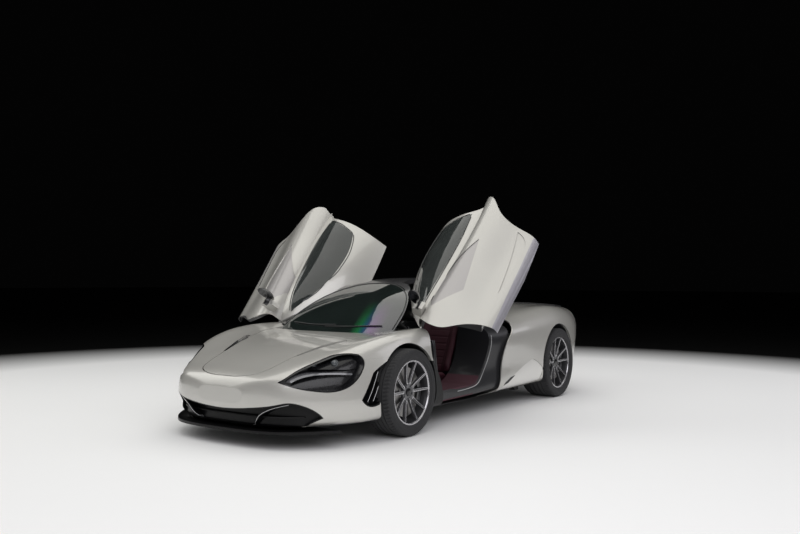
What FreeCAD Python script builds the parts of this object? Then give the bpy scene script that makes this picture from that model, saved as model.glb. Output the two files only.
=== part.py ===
import FreeCAD, Part
import math
import os
from FreeCAD import Placement, Rotation, Vector

# Driving dimensions
doc = FreeCAD.newDocument("supercar")
sheet = doc.addObject("Spreadsheet::Sheet", "sizes")
SIZES = {
    "wheelbase": 2670, "front_overhang": 1045, "rear_overhang": 828, "body_width": 1940,
    "panel_wall": 24, "glass_wall": 6, "frame_wall": 34, "shut_gap": 8, "seam": 0.4,
    "front_track": 1674, "rear_track": 1629,
    "front_tyre_radius": 327, "front_tyre_width": 245, "front_rim_radius": 241,
    "rear_tyre_radius": 345, "rear_tyre_width": 305, "rear_rim_radius": 254,
    "front_arch_radius": 368, "rear_arch_radius": 392, "liner_wall": 4,
    "front_disc_radius": 185, "rear_disc_radius": 180, "disc_thickness": 32,
    "spindle_radius": 22, "bearing_clearance": 0.05, "kingpin_radius": 12, "kingpin_inset": 25,
    "arm_spread": 110, "arm_height": 150, "rail_inner": 330, "rail_width": 70,
    "floor_thickness": 30, "sill_inner": 560, "jack_pad_height": 105, "exhaust_radius": 52,
    "door_wall": 110, "door_open_angle": 77, "panel_lip": 6, "door_flange": 22,
    "pocket_wall": 8, "pocket_depth": 54, "crease_depth": 6, "scoop_depth": 14,
    "hinge_pin_radius": 5,
    "steering_wheel_radius": 175, "steering_grip_radius": 16, "column_radius": 15,
    "spine_half_width": 205, "seat_width": 430, "seat_place": 340,
    "engine_length": 610, "engine_width": 560, "engine_height": 500, "engine_floor": 190,
    "engine_place": 1720,
}
for row, (name, value) in enumerate(SIZES.items(), 1):
    sheet.set(f"A{row}", name)
    sheet.set(f"B{row}", str(value))
    sheet.setAlias(f"B{row}", name)
doc.recompute()


def size(name):
    """A driving dimension, read from the sheet."""
    return float(sheet.get(name))


# The body is drawn on these lengths and then stretched to the sheet's
DRAWN_WHEELBASE = 2670
DRAWN_FRONT = 1045
DRAWN_REAR = 828
DRAWN_WIDTH = 1940
LENGTH = size("front_overhang") + size("wheelbase") + size("rear_overhang")
FRONT_AXLE = size("front_overhang") - LENGTH / 2
REAR_AXLE = FRONT_AXLE + size("wheelbase")


def lengthways(drawn):
    """Row-frame y of a place drawn behind the front axle."""
    if drawn <= 0:
        return FRONT_AXLE + drawn * size("front_overhang") / DRAWN_FRONT
    if drawn <= DRAWN_WHEELBASE:
        return FRONT_AXLE + drawn * size("wheelbase") / DRAWN_WHEELBASE
    return REAR_AXLE + (drawn - DRAWN_WHEELBASE) * size("rear_overhang") / DRAWN_REAR


def sideways(drawn):
    """Row-frame x of a place drawn out from the centre line."""
    return drawn * size("body_width") / DRAWN_WIDTH


# Character lines of the lower body: (behind the front axle, out from the centre, above the floor)
HULL_LINES = [
    ("keel", [(-1045, 0, 300), (-1025, 0, 190), (-980, 0, 145), (-880, 0, 125), (3000, 0, 125),
              (3250, 0, 170), (3498, 0, 250)]),
    ("floor", [(-1045, 160, 300), (-1025, 290, 190), (-980, 420, 145), (-880, 560, 125),
               (-745, 680, 120), (-600, 790, 118), (-400, 870, 115), (0, 890, 115), (500, 870, 115),
               (1500, 880, 120), (2300, 900, 125), (2670, 900, 125), (3000, 840, 130),
               (3250, 740, 190), (3498, 560, 300)]),
    ("sill", [(-1045, 200, 315), (-1025, 340, 230), (-980, 480, 200), (-880, 610, 190),
              (-745, 730, 190), (-600, 835, 195), (-400, 915, 205), (0, 945, 210), (500, 935, 210),
              (1500, 945, 225), (2300, 960, 235), (2670, 965, 245), (3000, 925, 260),
              (3250, 850, 300), (3498, 700, 360)]),
    ("waist", [(-1045, 220, 340), (-1025, 370, 320), (-980, 505, 315), (-880, 635, 320),
               (-745, 750, 330), (-600, 845, 345), (-400, 920, 370), (0, 950, 390), (500, 905, 370),
               (1000, 880, 370), (1500, 905, 390), (2300, 955, 430), (2670, 970, 450),
               (3000, 945, 460), (3250, 885, 470), (3498, 770, 480)]),
    ("flank", [(-1045, 220, 375), (-1025, 370, 400), (-980, 495, 420), (-880, 610, 445),
               (-745, 715, 480), (-600, 805, 520), (-400, 880, 580), (0, 930, 630), (500, 925, 640),
               (1000, 925, 620), (1500, 940, 620), (2300, 960, 650), (2670, 968, 690),
               (3000, 940, 690), (3250, 890, 680), (3498, 800, 660)]),
    ("shoulder", [(-1045, 200, 400), (-1025, 340, 445), (-980, 455, 475), (-880, 565, 505),
                  (-745, 665, 550), (-600, 755, 600), (-400, 830, 670), (0, 880, 750),
                  (500, 880, 755), (1000, 885, 730), (1500, 905, 740), (2300, 930, 810),
                  (2670, 925, 850), (3000, 880, 840), (3250, 830, 815), (3498, 770, 780)]),
    ("crest", [(-1045, 160, 410), (-1025, 280, 462), (-980, 390, 495), (-880, 490, 530),
               (-745, 590, 585), (-600, 680, 640), (-400, 755, 710), (0, 800, 785), (250, 800, 800),
               (500, 800, 800), (1000, 800, 785), (1500, 800, 795), (2300, 800, 890),
               (2670, 790, 925), (3000, 760, 915), (3250, 730, 890), (3498, 690, 870)]),
    ("valley", [(-1045, 110, 410), (-1025, 200, 465), (-980, 280, 500), (-880, 370, 537),
                (-745, 450, 585), (-600, 520, 630), (-400, 580, 685), (0, 610, 745), (500, 620, 775),
                (1000, 620, 790), (1500, 620, 800), (2300, 620, 880), (2670, 600, 900),
                (3000, 600, 905), (3250, 580, 900), (3498, 540, 890)]),
    ("bonnet", [(-1045, 50, 410), (-1025, 100, 467), (-980, 150, 503), (-880, 200, 540),
                (-745, 250, 588), (-600, 300, 632), (-400, 330, 682), (0, 340, 735), (500, 340, 760),
                (1500, 340, 800), (2300, 340, 900), (2670, 340, 915), (3000, 340, 920),
                (3250, 330, 915), (3498, 320, 900)]),
    ("spine", [(-1045, 0, 410), (-1025, 0, 468), (-980, 0, 504), (-880, 0, 542), (-745, 0, 590),
               (-600, 0, 635), (-400, 0, 685), (0, 0, 737), (500, 0, 762), (1500, 0, 800),
               (2300, 0, 900), (2670, 0, 915), (3000, 0, 922), (3250, 0, 918), (3498, 0, 905)]),
]
HULL_STATIONS = [-1045, -1036, -1020, -990, -940, -880, -800, -700, -600, -480, -340, -180, 0, 200,
                 450, 750, 1100, 1450, 1800, 2100, 2400, 2670, 2900, 3100, 3250, 3380, 3498]

# Character lines of the glasshouse, from the belt to the roof's centre line
CANOPY_LINES = [
    ("foot", [(100, 0, 480), (3100, 0, 480)]),
    ("hem", [(100, 600, 480), (300, 740, 480), (700, 790, 480), (1300, 790, 480), (1900, 740, 480),
             (2500, 560, 480), (3100, 300, 480)]),
    ("belt", [(100, 600, 600), (300, 740, 700), (700, 790, 760), (1300, 790, 780), (1900, 740, 820),
              (2500, 560, 850), (3100, 300, 860)]),
    ("pillar", [(100, 560, 640), (300, 690, 780), (700, 720, 900), (1100, 710, 950),
                (1500, 690, 970), (1900, 630, 960), (2500, 460, 900), (3100, 240, 870)]),
    ("rail", [(100, 420, 680), (300, 540, 820), (700, 580, 1020), (1100, 560, 1120),
              (1500, 540, 1130), (1900, 480, 1080), (2500, 330, 960), (3100, 170, 880)]),
    ("roof", [(100, 220, 690), (300, 280, 835), (700, 300, 1070), (1100, 290, 1175),
              (1500, 280, 1190), (1900, 250, 1130), (2500, 170, 985), (3100, 90, 885)]),
    ("top", [(100, 0, 692), (300, 0, 840), (700, 0, 1085), (1100, 0, 1190), (1500, 0, 1196),
             (1900, 0, 1140), (2500, 0, 992), (3100, 0, 888)]),
]
CANOPY_STATIONS = [100, 200, 320, 480, 650, 850, 1050, 1250, 1450, 1650, 1850, 2100, 2350, 2600,
                   2850, 3100]


def smooth(points, place):
    """Height of a smooth line through (place, height) points that never overshoots them."""
    if place <= points[0][0]:
        return points[0][1]
    if place >= points[-1][0]:
        return points[-1][1]
    spans = [b[0] - a[0] for a, b in zip(points, points[1:])]
    slopes = [(b[1] - a[1]) / span for a, b, span in zip(points, points[1:], spans)]
    tangents = [slopes[0]]
    for before, after, span, following in zip(slopes, slopes[1:], spans, spans[1:]):
        if before * after <= 0:
            tangents.append(0.0)
        else:
            first, second = 2 * following + span, following + 2 * span
            tangents.append((first + second) / (first / before + second / after))
    tangents.append(slopes[-1])
    i = max(k for k in range(len(spans)) if points[k][0] <= place)
    u = (place - points[i][0]) / spans[i]
    return ((2 * u**3 - 3 * u**2 + 1) * points[i][1] + (u**3 - 2 * u**2 + u) * spans[i] * tangents[i]
            + (3 * u**2 - 2 * u**3) * points[i + 1][1] + (u**3 - u**2) * spans[i] * tangents[i + 1])


def section(lines, drawn, inset):
    """Half cross-section, bottom centre to top centre, moved inwards by inset."""
    points = [(sideways(smooth([(p[0], p[1]) for p in line], drawn)),
               smooth([(p[0], p[2]) for p in line], drawn)) for _, line in lines]
    if not inset:
        return points
    moved = []
    for i, (x, z) in enumerate(points):
        ahead, behind = points[min(i + 1, len(points) - 1)], points[max(i - 1, 0)]
        along, up = ahead[0] - behind[0], ahead[1] - behind[1]
        span = math.hypot(along, up) or 1.0
        moved.append((max(x - inset * up / span, 0.0) if x else 0.0, z + inset * along / span))
    moved[0] = (0.0, points[0][1] + inset)
    moved[-1] = (0.0, points[-1][1] - inset)
    return moved


def clamped(count):
    """Knots and multiplicities of a cubic B-spline over this many poles."""
    inner = count - 4
    return list(range(inner + 2)), [4] + [1] * inner + [4]


def lofted(lines, stations, splits, inset=0.0):
    """Closed solid through the lines: one smooth skin, in patches that meet at the split stations."""
    first, last = lengthways(stations[0]), lengthways(stations[-1])
    poles = []
    for drawn in stations:
        y = lengthways(drawn)
        y += inset * ((last - y) - (y - first)) / (last - first)
        half = section(lines, drawn, inset)
        ring = half + [(-x, z) for x, z in reversed(half[:-1])]
        poles.append([Vector(x, y, z) for x, z in ring])
    u_knots, u_mults = clamped(len(poles))
    v_knots, v_mults = clamped(len(poles[0]))
    skin = Part.BSplineSurface()
    skin.buildFromPolesMultsKnots(poles, u_mults, v_mults, u_knots, v_knots, False, False, 3, 3)
    ends = [u_knots[0]] + [u_knots[i] for i in splits] + [u_knots[-1]]
    ridge = v_knots[-1] / 2
    patches = []
    for front, back in zip(ends, ends[1:]):
        for low, high in ((v_knots[0], ridge), (ridge, v_knots[-1])):
            patch = skin.copy()
            patch.segment(front, back, low, high)
            patches.append(patch.toShape())
    caps = []
    for y in (poles[0][0].y, poles[-1][0].y):
        rim = [e for p in patches for e in p.Edges
               if abs(e.BoundBox.YMin - y) < 1e-3 and abs(e.BoundBox.YMax - y) < 1e-3]
        caps.append(Part.Face(Part.Wire(Part.sortEdges(rim)[0])))
    shell = Part.Shell(patches + caps)
    shell.sewShape()
    solid = Part.Solid(shell)
    if solid.Volume < 0:
        solid.reverse()
    return solid


def hull_inset(amount):
    return lofted(HULL_LINES, HULL_STATIONS, (4, 10, 16), amount)


def canopy_inset(amount):
    return lofted(CANOPY_LINES, CANOPY_STATIONS, (4, 9), amount)


def mitred(sides, normal, amount):
    """Sides of a flat outline moved outwards by amount, meeting at mitred corners."""
    corners = [point for side in sides for point in side[:-1]]
    area = sum((a.cross(b) for a, b in zip(corners, corners[1:] + corners[:1])), Vector()).dot(normal)
    turn = math.copysign(amount, area * amount)
    outward = []
    for side in sides:
        steps = [(b - a).normalize() for a, b in zip(side, side[1:])]
        along = [steps[0]] + [a + b for a, b in zip(steps, steps[1:])] + [steps[-1]]
        outward.append([a.cross(normal).normalize() for a in along])
    moved = []
    for i, side in enumerate(sides):
        ends = []
        for corner, one, other in ((side[0], outward[i - 1][-1], outward[i][0]),
                                   (side[-1], outward[i][-1], outward[(i + 1) % len(sides)][0])):
            ends.append(corner + (one + other) * (turn / (1 + one.dot(other))))
        inner = [point + way * turn for point, way in zip(side[1:-1], outward[i][1:-1])]
        moved.append([ends[0]] + inner + [ends[1]])
    return moved


def outline(sides, normal, grow=0.0):
    """Closed wire, larger all round by grow: a side is straight with two points, else a spline."""
    edges = []
    for points in mitred(sides, normal, grow) if grow else sides:
        if len(points) == 2:
            edges.append(Part.LineSegment(*points).toShape())
        else:
            curve = Part.BSplineCurve()
            curve.interpolate(points)
            edges.append(curve.toShape())
    return Part.Wire(edges)


def side_prism(sides, x_from, x_to, grow=0.0):
    """Prism along x of an outline in side view: (behind the front axle, height)."""
    flat = [[Vector(x_from, lengthways(s), z) for s, z in side] for side in sides]
    return Part.Face(outline(flat, Vector(1, 0, 0), grow)).extrude(Vector(x_to - x_from, 0, 0))


def whole(sides):
    """Half outline with its mirror image: the sides that cross the centre line become one each."""
    middle = [[(-x, v) for x, v in reversed(side)] for side in reversed(sides[1:-1])]
    first, last = sides[0], sides[-1]
    crossing = [(-x, v) for x, v in reversed(first[1:])] + (first if len(first) > 2 else first[1:])
    back = (last if len(last) > 2 else last[:-1]) + [(-x, v) for x, v in reversed(last[:-1])]
    return [crossing] + sides[1:-1] + [back] + middle


def top_prism(sides, z_from, z_to, grow=0.0):
    """Prism along z of an outline from above, closed over the centre line by its mirror image."""
    flat = [[Vector(sideways(x), lengthways(s), z_from) for x, s in side] for side in whole(sides)]
    return Part.Face(outline(flat, Vector(0, 0, 1), grow)).extrude(Vector(0, 0, z_to - z_from))


def front_prism(sides, drawn_from, drawn_to, grow=0.0):
    """Prism along y of an outline in front view, closed over the centre line by its mirror image."""
    y = lengthways(drawn_from)
    flat = [[Vector(sideways(x), y, z) for x, z in side] for side in whole(sides)]
    return Part.Face(outline(flat, Vector(0, 1, 0), grow)).extrude(Vector(0, lengthways(drawn_to) - y, 0))


def block(x_from, x_to, s_from, s_to, z_from, z_to):
    """Box between drawn places."""
    y = lengthways(s_from)
    return Part.makeBox(x_to - x_from, lengthways(s_to) - y, z_to - z_from, Vector(x_from, y, z_from))


def straight(corners):
    """Closed outline with a straight side from each corner to the next."""
    return [list(side) for side in zip(corners, corners[1:] + corners[:1])]


def plan_prism(sides, z_from, z_to, grow=0.0):
    """Prism along z of an outline from above, on one side of the car: (out from the centre, behind the axle)."""
    flat = [[Vector(sideways(x), lengthways(s), z_from) for x, s in side] for side in sides]
    return Part.Face(outline(flat, Vector(0, 0, 1), grow)).extrude(Vector(0, 0, z_to - z_from))


def mirrored(shape):
    return shape.mirror(Vector(0, 0, 0), Vector(1, 0, 0))


def both(shape):
    return Part.makeCompound([shape, mirrored(shape)])


def solids(shape, count=1):
    """The biggest solids of a result, without slivers."""
    kept = sorted(shape.Solids, key=lambda s: -s.Volume)[:count]
    return kept[0] if count == 1 else Part.makeCompound(kept)


def cut_all(shape, holes):
    for hole in holes:
        shape = shape.cut(hole)
    return shape


NODES = []


def piece(label, shape, placement=None):
    """A free-form sub-part: its shape from the sheet's sizes, then its place."""
    feature = doc.addObject("Part::Feature", label)
    feature.Label = label
    feature.Shape = shape
    if placement:
        feature.Placement = placement
    NODES.append(feature)
    return feature


def driven(kind, label, **expressions):
    """A parametric object whose properties follow expressions on the sheet."""
    feature = doc.addObject(kind, label)
    feature.Label = label
    for name, expression in expressions.items():
        feature.setExpression(name, expression)
    return feature


# Skins of the lower body and of the glasshouse
wall, gap, seam = size("panel_wall"), size("shut_gap"), size("seam")
WIDE = 1100
hull = hull_inset(0)
hull_core = hull_inset(wall)
hull_seat = hull_inset(wall + 0.3)
hull_clear = hull_inset(wall + gap)
hull_tray = hull_inset(62)
canopy = canopy_inset(0)
canopy_seat = canopy_inset(-seam)
canopy_core = canopy_inset(size("frame_wall"))
hull_skin = hull.cut(hull_core)
lower_skin = hull_skin.cut(canopy_seat)
upper_skin = canopy.cut(canopy_core).cut(hull_core)
pocket_wall, pocket_depth = size("pocket_wall"), size("pocket_depth")
pocket_mouth, pocket_floor, pocket_back = [hull_inset(depth) for depth in (
    3, pocket_depth - pocket_wall, pocket_depth)]
crease_layer = hull.cut(hull_inset(size("crease_depth")))


# Wheel wells and their liners
def well(radius, y, height, inner):
    return both(Part.makeCylinder(radius, WIDE - inner, Vector(inner, y, height), Vector(1, 0, 0)))


FRONT_WELL_INNER, REAR_WELL_INNER = 540, 640
front_well = (size("front_arch_radius"), FRONT_AXLE, size("front_tyre_radius"), FRONT_WELL_INNER)
rear_well = (size("rear_arch_radius"), REAR_AXLE, size("rear_tyre_radius"), REAR_WELL_INNER)
wells = Part.makeCompound([well(*front_well), well(*rear_well)])


def grown_well(place, amount):
    return well(place[0] + amount, place[1], place[2], place[3] - 1)


liner_space = Part.makeCompound([grown_well(front_well, size("liner_wall") + seam),
                                 grown_well(rear_well, size("liner_wall") + seam)])
liners = []
for place in (front_well, rear_well):
    ring = well(place[0] + size("liner_wall"), place[1], place[2], place[3]).cut(grown_well(place, 0))
    liners.append(ring.common(hull_seat).cut(block(-WIDE, WIDE, -1200, 3600, 0, 175)))

# Door outline in side view
DOOR_FRONT = [(494, 130), (488, 250), (455, 370), (385, 480), (325, 565), (318, 660), (345, 735),
              (388, 800)]
DOOR_PILLAR = [(388, 800), (500, 900), (700, 1030), (960, 1150), (1040, 1230)]
DOOR_ROOF_END = [(1470, 1230), (1520, 1150), (1590, 1000), (1660, 850), (1745, 800)]
DOOR_TAIL = [(1745, 800), (1700, 735), (1559, 607), (1488, 447), (1450, 287), (1400, 196)]
DOOR_SIDES = [DOOR_FRONT, DOOR_PILLAR, [(1040, 1230), (1470, 1230)], DOOR_ROOF_END, DOOR_TAIL,
              [(1400, 196), (494, 130)]]
DOORWAY_SIDES = [[(480, 290), (470, 400), (440, 520), (430, 640), (450, 760)], [(450, 760), (450, 900)],
                 [(450, 900), (1320, 900)], [(1320, 900), (1300, 695), (1223, 455), (1068, 310), (960, 290)],
                 [(960, 290), (480, 290)]]
WINDOW_SIDES = [[(480, 850), (700, 985), (950, 1080), (1200, 1115), (1440, 1100)],
                [(1440, 1100), (1530, 1000), (1600, 885)], [(1600, 885), (1300, 850), (900, 840), (480, 850)]]
spine = size("spine_half_width")
door_prism = side_prism(DOOR_SIDES, spine, WIDE)
door_space = side_prism(DOOR_SIDES, spine - gap, WIDE, gap)
door_spaces = both(door_space)

# The panels meet at thin lips, with a rebate behind them that lets the doors swing out
lip, flange = size("panel_lip"), size("door_flange")
hull_lip, canopy_lip = hull_inset(lip), canopy_inset(lip)
rebate = side_prism(DOOR_SIDES, spine - gap, WIDE, gap + flange)
low_rebate = both(rebate.common(hull_lip))
high_zones = block(0, WIDE, 1250, 1800, 780, 1300).fuse(block(330, 480, 700, 900, 1000, 1150))
high_rebate = both(rebate.common(high_zones).common(canopy_lip))
front_relief = door_spaces.translated(Vector(0, -3, 2))
rear_relief = door_spaces.translated(Vector(0, 6, 4)).common(block(-WIDE, WIDE, 1600, 1800, 770, 900))
foot_relief = door_spaces.translated(Vector(0, 34, 0)).common(block(-WIDE, WIDE, 1600, 1780, 780, 870))
pillar_relief = door_spaces.translated(Vector(0, -3, 3)).common(block(-WIDE, WIDE, 760, 900, 1040, 1140))

# Bonnet and cowl from above
BONNET_FRONT = [(0, -1000), (200, -985), (285, -940), (333, -809), (358, -662), (392, -507),
                (450, -294), (520, -100), (552, 60), (552, 112)]
BONNET_SIDES = [BONNET_FRONT, [(552, 112), (0, 100)]]
COWL_SIDES = [[(0, 90), (560, 90)], [(560, 90), (580, 384)], [(580, 384), (0, 384)]]
bonnet_space = top_prism(BONNET_SIDES, 300, 1000, gap)
bonnet_prism = top_prism(BONNET_SIDES, 300, 1000)
cowl_space = top_prism(COWL_SIDES, 560, 900, seam)

# Openings in the front
LAMP = [[(-968, 462), (-895, 508), (-766, 569), (-632, 621), (-538, 646), (-475, 638)],
        [(-475, 638), (-458, 600), (-490, 524), (-562, 448), (-640, 405), (-715, 390), (-806, 398),
         (-902, 423), (-968, 462)]]
GILL = [[(-253, 585), (-341, 548), (-413, 507)], [(-413, 507), (-528, 325)],
        [(-528, 325), (-504, 294), (-372, 281)], [(-372, 281), (-338, 360), (-253, 585)]]
MOUTH = [[(0, 150), (600, 150)], [(600, 150), (715, 214)],
         [(715, 214), (681, 269), (629, 305), (563, 325), (485, 312), (311, 285), (0, 262)]]
LAMP_ZONE = straight([(470, -985), (WIDE, -985), (WIDE, -430), (690, -430), (560, -700)])
TRAY_BACK = [[(0, -1200), (820, -1200)], [(820, -1200), (820, -600)],
             [(820, -600), (660, -750), (540, -845), (400, -908), (250, -943), (0, -955)]]
SCOOP = [[(352, -640), (376, -500), (420, -380), (500, -240)], [(500, -240), (532, -262)],
         [(532, -262), (478, -400), (425, -525), (378, -655)], [(378, -655), (352, -640)]]
lamp_space = both(side_prism(LAMP, 350, WIDE, seam).common(plan_prism(LAMP_ZONE, 300, 700, seam)))
gill_space = both(side_prism(GILL, 700 - seam, WIDE, seam))
mouth_space = front_prism(MOUTH, -1100, -640, seam).common(top_prism(TRAY_BACK, 90, 430, seam))
scoops = hull.cut(hull_inset(size("scoop_depth"))).common(both(plan_prism(SCOOP, 500, 900)))
backing = hull_inset(wall - 2).cut(hull_inset(wall + 16))


def pocket(prism, inner):
    """Liner of an opening: its walls start just behind the paint and run in to a floor."""
    return pocket_mouth.cut(pocket_back).common(prism).cut(inner.common(hull).cut(pocket_floor))


def ledge(prism, depth):
    """Block on a pocket's floor, up to a depth below the paint."""
    return hull_inset(depth).cut(hull_inset(pocket_depth - 3)).common(prism)


# Front bumper, fenders, bonnet
UNDERTRAY = (-860, 860, -700, 3050, 0, 166)
tray_space = block(-860 - seam, 860 + seam, -700 - seam, 3050 + seam, 0, 166 + seam)


def fender_zone(grow):
    corners = [(-480 - grow, 605 - grow), (-240 - grow, 605 - grow), (-240 - grow, 0), (700, 0), (700, 1000),
               (-480 - grow, 1000)]
    return side_prism([list(side) for side in zip(corners, corners[1:] + corners[:1])], -WIDE, WIDE)


front_half = lower_skin.common(block(-WIDE, WIDE, -1200, 600, 0, 1000))
front_half = cut_all(front_half, [wells, bonnet_space, cowl_space, tray_space, door_spaces, low_rebate,
                                  front_relief, scoops])
piece("front_bumper", solids(cut_all(front_half.cut(fender_zone(seam)), [lamp_space, gill_space, mouth_space])))
fenders = front_half.common(fender_zone(0))
fenders_high = solids(fenders.cut(block(-WIDE, WIDE, 200, 600, 0, 540 + seam)).cut(lamp_space), 2)

# The bonnet turns on two pins that stand inwards from lugs under the fenders
BONNET_AXIS = (lengthways(150), 712)
pin_radius = size("hinge_pin_radius")
bonnet_pin = Part.makeCylinder(pin_radius, 30, Vector(538, *BONNET_AXIS), Vector(1, 0, 0))
bonnet_pin = bonnet_pin.fuse(block(564, 576, 136, 164, 698, 736))
bonnet_bore = Part.makeCylinder(pin_radius + size("bearing_clearance"), 30, Vector(530, *BONNET_AXIS),
                                Vector(1, 0, 0))
BONNET_ARM = straight([(70, 735), (112, 735), (160, 720), (158, 700), (146, 700), (96, 708)])
bonnet_arm = side_prism(BONNET_ARM, 541, 549).cut(bonnet_bore)
pins = [solids(half.fuse(side)) for half, side in zip(
    sorted(fenders_high.Solids, key=lambda s: -s.CenterOfMass.x), (bonnet_pin, mirrored(bonnet_pin)))]
piece("front_fenders", Part.makeCompound(pins))

# Vaned outlets behind the lamps
inner_gill = side_prism(GILL, 699, WIDE + 1, -pocket_wall)
gill = pocket(side_prism(GILL, 700, WIDE), inner_gill)
for drawn, height in ((-478, 300), (-432, 300), (-386, 300)):
    blade = side_prism(straight([(drawn, height), (drawn + 7, height), (drawn + 157, height + 270),
                                 (drawn + 150, height + 270)]), 700, WIDE)
    gill = gill.fuse(ledge(blade.common(side_prism(GILL, 700, WIDE, 1 - pocket_wall)), 12))
gill_vents = both(solids(gill.cut(liner_space)))
vents = [gill_vents, fenders.common(block(-WIDE, WIDE, 200, 600, 0, 540))]
bonnet = lower_skin.common(bonnet_prism)
piece("bonnet", solids(bonnet.fuse([bonnet_arm, mirrored(bonnet_arm)]).cut(both(bonnet_bore))))

# Lamp housings with a stepped bezel, and the light strip that stands on their floor
lamp = pocket(side_prism(LAMP, 350, WIDE).common(plan_prism(LAMP_ZONE, 300, 700)),
              side_prism(LAMP, 349, WIDE + 1, -pocket_wall).common(plan_prism(LAMP_ZONE, 299, 701, -pocket_wall)))
BEZEL = [[(-885, 520), (-780, 560), (-640, 602), (-545, 630), (-490, 628)], [(-490, 628), (-500, 545)],
         [(-500, 545), (-560, 535), (-690, 540), (-800, 530), (-885, 520)]]
lamp = lamp.fuse(ledge(side_prism(BEZEL, 350, WIDE).common(plan_prism(LAMP_ZONE, 300, 700)), 30))
piece("headlamps", both(solids(lamp.cut(bonnet_space))))
STRIP = [[(-905, 470), (-800, 512), (-690, 520), (-560, 512)], [(-560, 512), (-560, 500)],
         [(-560, 500), (-690, 508), (-800, 500), (-905, 458)], [(-905, 458), (-905, 470)]]
strips = hull_inset(10).cut(hull_inset(pocket_depth - pocket_wall - 0.3)).common(side_prism(STRIP, 350, WIDE))
strips = strips.common(plan_prism(LAMP_ZONE, 300, 700, -pocket_wall - seam))
piece("lamp_strips", both(solids(strips.cut(bonnet_space))))

# Front mouth: a deep tray with curved pods and a cross blade, above the splitter
mouth_zone = front_prism(MOUTH, -1100, -640).common(top_prism(TRAY_BACK, 90, 430))
inner_mouth = front_prism(MOUTH, -1101, -639, -pocket_wall).common(top_prism(TRAY_BACK, 89, 431, -pocket_wall))
intake = pocket_mouth.common(mouth_zone).cut(inner_mouth)
POD = [[(258, 146), (307, 197), (350, 242), (440, 287), (545, 316)],
       [(545, 316), (596, 322)], [(596, 322), (545, 306), (446, 277), (358, 233), (317, 190), (270, 146)],
       [(270, 146), (258, 146)]]
pod = Part.Face(outline([[Vector(sideways(x), lengthways(-1100), z) for x, z in side] for side in POD],
                        Vector(0, 1, 0))).extrude(Vector(0, 420, 0))
intake = intake.fuse(both(pod.common(mouth_zone).common(hull_inset(10))))
blade = block(-600, 600, -1100, -640, 214, 222).common(mouth_zone).common(hull_inset(34))
intake = solids(intake.fuse(blade))
SPLITTER = [[(0, -1056), (215, -1050), (352, -1030), (490, -985), (622, -885), (742, -750), (800, -670)],
            [(800, -670), (0, -670)]]
splitter = solids(top_prism(SPLITTER, 108, 128).cut(hull_inset(-seam)))
piece("front_intake", Part.makeCompound([intake, splitter]))
tray = hull_tray.cut(hull_inset(74)).common(top_prism(COWL_SIDES, 560, 900))
piece("cowl", solids(tray.cut(liner_space)))

# Windscreen, roof frame and rear glass
WINDSCREEN_SIDES = [[(0, 50), (560, 50)], [(560, 50), (590, 250), (565, 420), (505, 580), (430, 700),
                    (320, 800), (200, 870), (120, 890), (0, 895)]]
REAR_SCREEN_SIDES = [[(1640, 1250), (1700, 1100), (1830, 905)], [(1830, 905), (2240, 925)],
                     [(2240, 925), (2240, 1250)], [(2240, 1250), (1640, 1250)]]
glass = canopy.cut(canopy_inset(size("glass_wall")))
piece("windscreen", solids(glass.common(top_prism(WINDSCREEN_SIDES, 480, 1300)).cut(hull_inset(61.7))))
piece("rear_screen", solids(glass.common(side_prism(REAR_SCREEN_SIDES, -WIDE, WIDE)).cut(hull)))
roof = upper_skin.cut(block(-WIDE, WIDE, 2250, 3200, 0, 1300))
roof = cut_all(roof, [door_spaces, high_rebate, foot_relief, pillar_relief,
                      top_prism(WINDSCREEN_SIDES, 480, 1300, seam), side_prism(REAR_SCREEN_SIDES, -WIDE, WIDE, seam)])

# Door hinges: a hook under the roof frame holds a pin, and two knuckles on the door turn on it
hinge_low = Vector(sideways(680), lengthways(430), 850)
hinge_line = Vector(sideways(-410), lengthways(1030) - lengthways(430), 330)
HINGE_PLACE = 0.66
way = Vector(hinge_line).normalize()
rise = (Vector(0, 0, 1) - way * way.z).normalize()
reach_out = way.cross(rise)
centre = hinge_low + hinge_line * HINGE_PLACE
hinge_frame = Placement(FreeCAD.Matrix(reach_out.x, rise.x, -way.x, centre.x, reach_out.y, rise.y, -way.y, centre.y,
                                       reach_out.z, rise.z, -way.z, centre.z, 0, 0, 0, 1))
HOOK = [(7, -2), (4, -30), (-16, -43), (-58, -43), (-73, -28), (-74, 10), (-60, 13), (-60, -22), (-51, -30),
        (-22, -30), (-9, -24), (-8, -2)]
NOTCH = [(13, -70), (13, -1), (9, 3), (-90, 3), (-90, -70)]


def across_hinge(corners, half_width):
    """Flat plate across the hinge axis, from its outline in that plane."""
    points = [Vector(x, y, -half_width) for x, y in corners]
    return Part.Face(Part.makePolygon(points + points[:1])).extrude(Vector(0, 0, 2 * half_width))


def on_axis(radius, low, high):
    return Part.makeCylinder(radius, high - low, Vector(0, 0, low))


hook = across_hinge(HOOK, 8).fuse([on_axis(7.5, -8, 8), on_axis(pin_radius, -23, 23)])
knuckles = [on_axis(9, side, side + 14).fuse(Part.makeBox(18, 18, 14, Vector(-9, -18, side))) for side in (-23, 9)]
notch = across_hinge(NOTCH, 13).cut(knuckles[0]).cut(knuckles[1])
notch = notch.fuse([on_axis(8.5, -9, 9), on_axis(pin_radius + size("bearing_clearance"), -24, 24)])
hook.Placement = notch.Placement = hinge_frame
for knuckle_part in knuckles:
    knuckle_part.Placement = hinge_frame
piece("roof_frame", solids(solids(roof).fuse([hook, mirrored(hook)])))
piece("rear_deck", solids(upper_skin.common(block(-WIDE, WIDE, 2250 + seam, 3200, 0, 1300))))

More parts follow.
